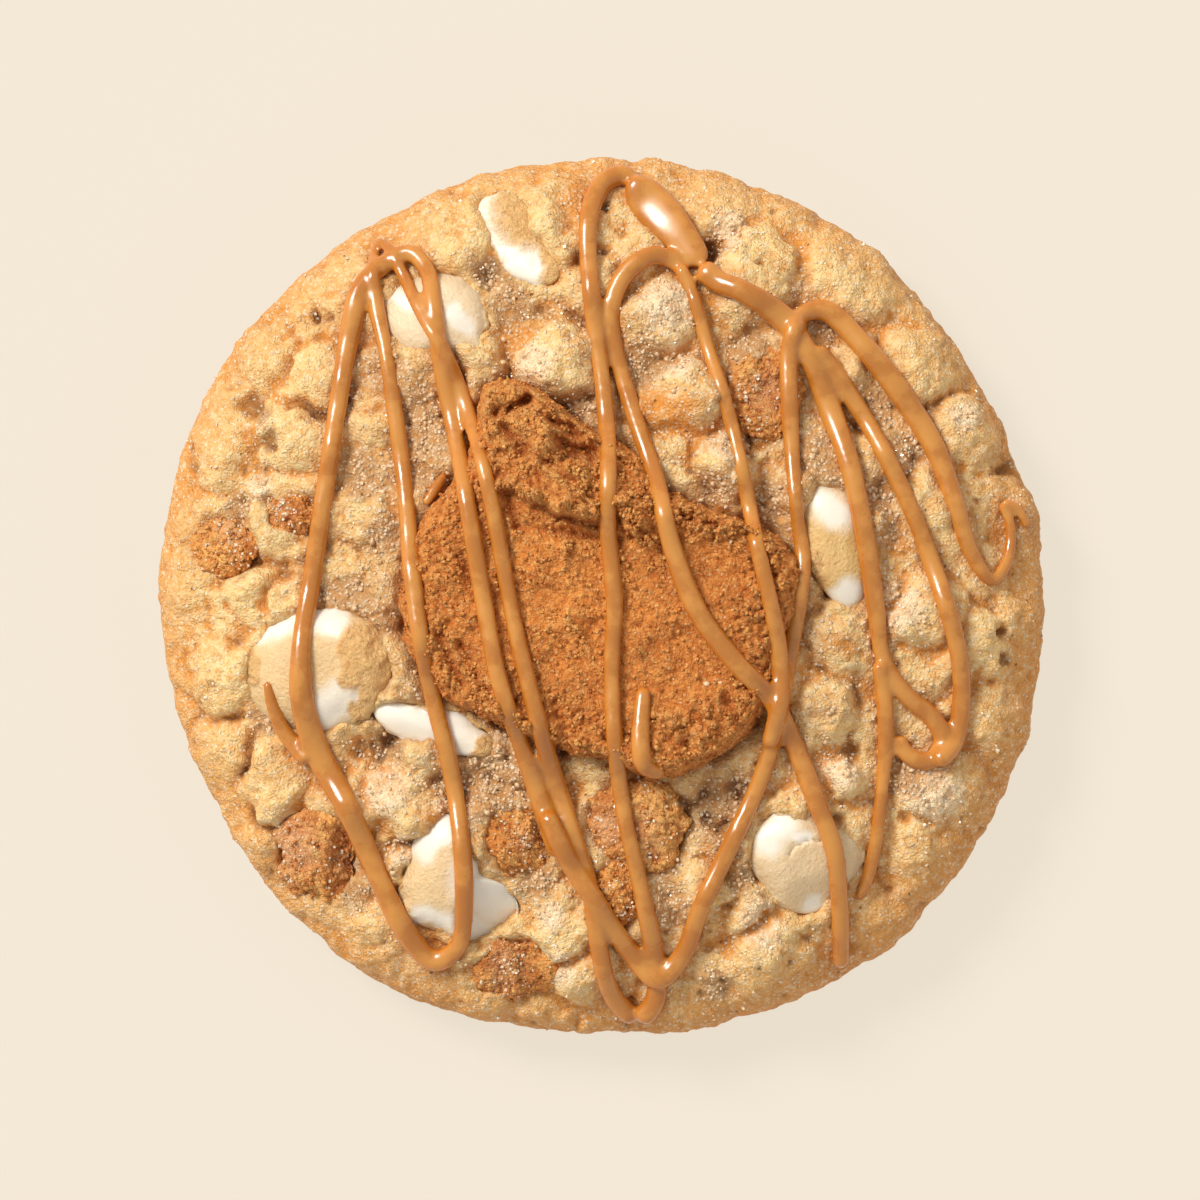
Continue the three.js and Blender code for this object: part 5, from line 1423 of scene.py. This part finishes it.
def strand_tubes(settings, strands):
    """Every strand as a tube, flatter where it is wide and tapered at its ends."""
    shape = bmesh.new()
    for index, (plan, _, _, _) in enumerate(strands):
        made = bmesh.ops.create_grid(
            shape, x_segments=len(plan) - 1, y_segments=AROUND, size=1)["verts"]
        bmesh.ops.translate(shape, vec=(0, 0, APART * index), verts=made)
    mesh = mesh_from(shape, "strands")
    flat = places_of(mesh)
    place = np.zeros_like(flat)
    for index, (plan, aside, width, height) in enumerate(strands):
        mine = np.rint(flat[:, 2] / APART).astype(int) == index
        step = np.rint((flat[mine, 0] + 1) / 2 * (len(plan) - 1)).astype(int)
        angle = FULL_TURN * (flat[mine, 1] + 1) / 2
        run = np.concatenate([[0], np.cumsum(np.hypot(*np.diff(plan, axis=0).T))])
        ends = np.minimum(run, run[-1] - run) / (0.5 * width)
        taper = np.sqrt(np.clip(1 - (1 - np.clip(ends, 0, 1)) ** 2, 0, 1))
        half = 0.5 * width * taper
        tall = np.minimum(settings.thickness * width, 0.95 + 0.05 * width) * taper
        middle = height + settings.sit * np.minimum(width, SLIM) * (0.4 + 0.6 * taper)
        flatness = np.interp(width, [SLIM, WIDE], [1, 0.5])[step]
        bow = np.sign(np.sin(angle)) * np.abs(np.sin(angle)) ** flatness
        place[mine, :2] = plan[step] + aside[step] * (half[step] * np.cos(angle))[:, None]
        place[mine, 2] = middle[step] + tall[step] * bow
    put_places(mesh, place)
    with reshaping(mesh) as shape:
        bmesh.ops.remove_doubles(shape, verts=shape.verts[:], dist=0.002 * MM)
        bmesh.ops.holes_fill(shape, edges=open_edges(shape))
        bmesh.ops.recalc_face_normals(shape, faces=shape.faces[:])
    return mesh


def model_drizzle(settings, tree):
    """All strands fused into one skin and smoothed, so that they melt together where they cross."""
    tubes = add_object("strands", strand_tubes(settings, lay_strands(tree)))
    fuse = tubes.modifiers.new("Fuse", "REMESH")
    fuse.mode = "VOXEL"
    fuse.voxel_size = settings.voxel
    mesh = evaluated_mesh(tubes)
    mesh.name = "caramel_drizzle"
    with reshaping(mesh) as shape:
        for _ in range(SMOOTHINGS):
            bmesh.ops.smooth_vert(shape, verts=shape.verts[:], factor=0.5, use_axis_x=True,
                                  use_axis_y=True, use_axis_z=True)
    return mesh, places_of(mesh) * PER_MM


def scatter(name, cubes, spots, upward, sizes, seed, stand=0.12):
    """Copies of one small grain, each turned and stretched its own way, as one mesh. They stand out
    of the surface by a share of their size. Also returns which copy each vertex belongs to."""
    shape = bmesh.new()
    if cubes:
        bmesh.ops.create_cube(shape, size=1)
    else:
        bmesh.ops.create_icosphere(shape, subdivisions=1, radius=0.5)
    one = add_object("grain", mesh_from(shape, "grain"))
    rows = one.modifiers.new("Copies", "ARRAY")
    rows.count = len(spots)
    rows.use_relative_offset = False
    rows.use_constant_offset = True
    rows.constant_offset_displace = (GRAIN_SPACING, 0, 0)
    mesh = evaluated_mesh(one)
    mesh.name = name
    local = places_of(mesh)
    copy = np.rint(local[:, 0] / GRAIN_SPACING).astype(int)
    local[:, 0] -= copy * GRAIN_SPACING
    random = np.random.default_rng(seed)
    local *= 1 + (0.4 if cubes else 0.9) * (random.random((len(local), 1)) - 0.5)
    turns = random.normal(size=(len(spots), 4))
    w, x, y, z = (turns / np.linalg.norm(turns, axis=1)[:, None]).T
    spin = np.stack([
        1 - 2 * (y * y + z * z), 2 * (x * y - w * z), 2 * (x * z + w * y),
        2 * (x * y + w * z), 1 - 2 * (x * x + z * z), 2 * (y * z - w * x),
        2 * (x * z - w * y), 2 * (y * z + w * x), 1 - 2 * (x * x + y * y)], axis=1)
    stretch = sizes[:, None] * random.uniform(0.65, 1.25, (len(spots), 3))
    local = np.einsum("nij,nj->ni", spin.reshape(-1, 3, 3)[copy], local * stretch[copy])
    return mesh, local + spots[copy] + stand * sizes[copy, None] * upward[copy], copy


def surface_of(piece):
    """A piece's places and outward directions."""
    return places_of(piece.data) * PER_MM, read(piece.data.vertices, "normal", 3)


def mask_of(piece, name):
    return read(piece.data.attributes[name].data, "value")


def pick_spots(piece, weight, amount, seed):
    """Places and outward directions on a piece, chosen by a weight for each of its vertices."""
    random = np.random.default_rng(seed)
    place, outward = surface_of(piece)
    weight = np.maximum(weight, 0) * (outward[:, 2] > STEEPEST)
    chosen = random.choice(len(place), size=amount, replace=False, p=weight / weight.sum())
    aside = GRAIN_SHIFT * random.normal(size=(amount, 3))
    return place[chosen] + aside * (1 - np.abs(outward[chosen])), outward[chosen]


def pick_chunk_spots(base, name, amount, seed):
    """The same on each chunk, weighted by a base and one of its masks."""
    chunks = [bpy.data.objects[f"biscuit_chunk_{index + 1}_crumb"] for index in range(len(CHUNKS))]
    return [pick_spots(chunk, base + mask_of(chunk, name), amount, seed + index)
            for index, chunk in enumerate(chunks)]


def surface_spots(piece, rows):
    """The places on a piece nearest to [x, y, ...] rows in plan, seen from above, and their outward
    directions."""
    place, outward = surface_of(piece)
    nearest = [np.argmin(np.hypot(place[:, 0] - x, place[:, 1] - y) + 9 * (outward[:, 2] < 0.1))
               for x, y, _ in rows]
    return place[nearest], outward[nearest]


# ---------------------------------------------------------------------------------------------
# Operators

FLOOR_HALF = 6  # In metres, as the next two.
FLOOR_DROP = 0.00005
VIEW_DEPTH = 20
SENSOR = 36  # Width in mm.


def add_world(settings):
    """An even light from all round, behind which the camera sees the floor's colour."""
    world = bpy.data.worlds.new("soft room")
    world.use_nodes = True
    nodes = Nodes(world.node_tree)
    even = world.node_tree.nodes["Background"]
    nodes.fill(even.inputs, {"Color": settings.light, "Strength": settings.sky})
    behind = nodes.add("Background", {"Color": settings.floor, "Strength": 1.0})
    shown = nodes.add("MixShader", {
        0: nodes.add("LightPath")["Is Camera Ray"], 1: even.outputs[0], 2: behind[0]})
    nodes.fill(world.node_tree.nodes["World Output"].inputs, {"Surface": shown[0]})
    return world


class COOKIE_OT_stage(bpy.types.Operator):
    """Adds the plain floor, the soft light and the camera straight above"""
    bl_idname = "cookie.stage"
    bl_label = "Stage"

    def execute(self, context):
        scene, settings = context.scene, context.scene.cookie_stage
        shape = bmesh.new()
        bmesh.ops.create_grid(shape, x_segments=1, y_segments=1, size=FLOOR_HALF)
        bmesh.ops.translate(shape, vec=(0, 0, -FLOOR_DROP), verts=shape.verts[:])
        floor = add_object("floor", mesh_from(shape, "floor"))
        floor.data.materials.append(floor_material(settings))

        light = bpy.data.lights.new("key", "SUN")
        light.energy = settings.key
        light.angle = settings.key_size
        light.color = settings.light[:3]
        add_object("key", light).rotation_euler = (0, settings.key_tilt, settings.key_turn)
        scene.world = add_world(settings)
        scene.view_settings.view_transform = "Standard"

        lens = bpy.data.cameras.new("camera")
        lens.lens = settings.lens
        lens.sensor_width = SENSOR
        lens.clip_end = VIEW_DEPTH
        scene.camera = add_object("camera", lens)
        scene.camera.location = (0, -settings.shift, settings.view_width * settings.lens / SENSOR)
        return {"FINISHED"}


class COOKIE_OT_dough(bpy.types.Operator):
    """Models the dough"""
    bl_idname = "cookie.dough"
    bl_label = "Dough"

    def execute(self, context):
        settings = context.scene.cookie_dough
        add_piece(*model_dough(settings), dough_material(settings), ["dough"], "cookie_dough")
        return {"FINISHED"}


class COOKIE_OT_biscuit(bpy.types.Operator):
    """Models the big broken biscuit in the middle"""
    bl_idname = "cookie.biscuit"
    bl_label = "Big biscuit"

    def execute(self, context):
        settings = context.scene.cookie_biscuit
        add_piece(*model_biscuit(settings), biscuit_material(settings), ["speculoos_biscuit"],
                  "spiced_biscuit")
        return {"FINISHED"}


class COOKIE_OT_chips(bpy.types.Operator):
    """Models the white chocolate chips"""
    bl_idname = "cookie.chips"
    bl_label = "White chips"

    def execute(self, context):
        material = chip_material(context.scene.cookie_chips)
        for index, piece in enumerate(CHIPS):
            add_piece(*model_chip(index, piece, context.scene.cookie_dough), material,
                      [f"white_chip_{index + 1}"], "white_chocolate")
        return {"FINISHED"}


class COOKIE_OT_chunks(bpy.types.Operator):
    """Models the small biscuit chunks, in the big biscuit's material"""
    bl_idname = "cookie.chunks"
    bl_label = "Biscuit chunks"

    def execute(self, context):
        material = bpy.data.materials["Speculoos crumb"]
        for index, piece in enumerate(CHUNKS):
            add_piece(*model_chunk(index, piece, context.scene.cookie_dough), material,
                      [f"biscuit_chunk_{index + 1}"], "spiced_biscuit")
        return {"FINISHED"}


class COOKIE_OT_drizzle(bpy.types.Operator):
    """Lays the caramel drizzle over everything"""
    bl_idname = "cookie.drizzle"
    bl_label = "Drizzle"

    def execute(self, context):
        settings = context.scene.cookie_drizzle
        laid = [piece for piece in bpy.data.objects if piece.get("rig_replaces")]
        mesh, place = model_drizzle(settings, surface_tree(laid))
        add_piece(mesh, place, {}, caramel_material(settings), [], None)
        return {"FINISHED"}


class COOKIE_OT_crumbs(bpy.types.Operator):
    """Scatters sugar crystals and sugary grains, and loose crumbs on the biscuit and the chunks"""
    bl_idname = "cookie.crumbs"
    bl_label = "Crumbs and sugar"

    def execute(self, context):
        settings = context.scene.cookie_crumbs
        dough, biscuit = (bpy.data.objects[name]
                          for name in ("cookie_dough", "speculoos_biscuit_crumb"))
        wet, pale = mask_of(dough, "wet"), mask_of(dough, "pale")
        place = places_of(dough.data) * PER_MM
        bare = np.min([outline_gap(place, centre, radius_at)
                       for centre, radius_at, _, _ in inset_pieces()], axis=0) >= 0.3
        random = np.random.default_rng(7)

        def gathered(found, size, most=1.5):
            """The spots and outward directions as one, and a random size for each."""
            spots, upward = (np.vstack(part) for part in zip(*found))
            return spots, upward, PER_MM * size * random.uniform(0.5, most, len(spots))

        found = [pick_spots(dough, (0.12 + wet + 1.3 * pale) * bare, settings.crystals, 1)]
        found += pick_chunk_spots(0.3, "sugar", settings.chunk_crystals, 20)
        mesh, placed, _ = scatter(
            "sugar_crystals", True, *gathered(found, settings.crystal_size), 2)
        add_piece(mesh, placed, {}, crystal_material("Sugar", settings.crystal, 0.12), [],
                  "cookie_dough")
        mesh.shade_flat()

        found = pick_spots(dough, (wet ** 2 + 0.5 * pale) * bare, settings.grains, 3)
        spots, upward, sizes = gathered([found], settings.grain_size)
        large_spots, large_upward = surface_spots(biscuit, LARGE_CRYSTALS)
        large_sizes = [size for _, _, size in LARGE_CRYSTALS]
        mesh, placed, _ = scatter(
            "sugary_grains", False, np.vstack([spots, large_spots]),
            np.vstack([upward, large_upward]), np.concatenate([sizes, large_sizes]), 4, -0.12)
        add_piece(mesh, placed, {}, crystal_material("Sugary grain", settings.grain, 0.25), [],
                  "cookie_dough")

        found = [pick_spots(biscuit, 0.06 + mask_of(biscuit, "bright"), settings.crumbs, 5)]
        found += pick_chunk_spots(0.1, "bright", settings.chunk_crumbs, 40)
        spots, upward, sizes = gathered(found, settings.crumb_size, 1.6)
        mesh, placed, copy = scatter("biscuit_crumbs", False, spots, upward, sizes, 6)
        shade = np.random.default_rng(8).random(len(spots))[copy]
        masks = {"bright": smooth(0.3, 1, shade), "dark": 0.4 * smooth(0.35, 0, shade)}
        add_piece(mesh, placed, masks, bpy.data.materials["Speculoos crumb"], [],
                  "spiced_biscuit")
        return {"FINISHED"}


class COOKIE_PT_panel(bpy.types.Panel):
    """One box for each operator, with its settings"""
    bl_idname = "COOKIE_PT_panel"
    bl_label = "Speculoos cookie"
    bl_space_type = "VIEW_3D"
    bl_region_type = "UI"
    bl_category = "Cookie"

    def draw(self, context):
        for operator, name in STEPS:
            box = self.layout.box()
            box.operator(operator)
            settings = getattr(context.scene, name, None)
            for key in getattr(type(settings), "__annotations__", {}):
                box.prop(settings, key)


# The operators in the order that main calls them, each with its settings' name.
STEPS = (
    ("cookie.stage", "cookie_stage"), ("cookie.dough", "cookie_dough"),
    ("cookie.biscuit", "cookie_biscuit"), ("cookie.chips", "cookie_chips"), ("cookie.chunks", ""),
    ("cookie.drizzle", "cookie_drizzle"), ("cookie.crumbs", "cookie_crumbs"),
)
SETTINGS = {
    "cookie_stage": StageSettings, "cookie_dough": CookieDoughSettings,
    "cookie_biscuit": BigBiscuitSettings, "cookie_chips": WhiteChipSettings,
    "cookie_drizzle": DrizzleSettings, "cookie_crumbs": CrumbSettings,
}
CLASSES = (
    *SETTINGS.values(), COOKIE_OT_stage, COOKIE_OT_dough, COOKIE_OT_biscuit, COOKIE_OT_chips,
    COOKIE_OT_chunks, COOKIE_OT_drizzle, COOKIE_OT_crumbs, COOKIE_PT_panel,
)


def register():
    for made in CLASSES:
        bpy.utils.register_class(made)
    for name, made in SETTINGS.items():
        setattr(bpy.types.Scene, name, bpy.props.PointerProperty(type=made))


def unregister():
    for name in SETTINGS:
        delattr(bpy.types.Scene, name)
    for made in reversed(CLASSES):
        bpy.utils.unregister_class(made)


def main():
    register()
    for operator, _ in STEPS:
        group, step = operator.split(".")
        getattr(getattr(bpy.ops, group), step)()


if __name__ == "__main__":
    main()
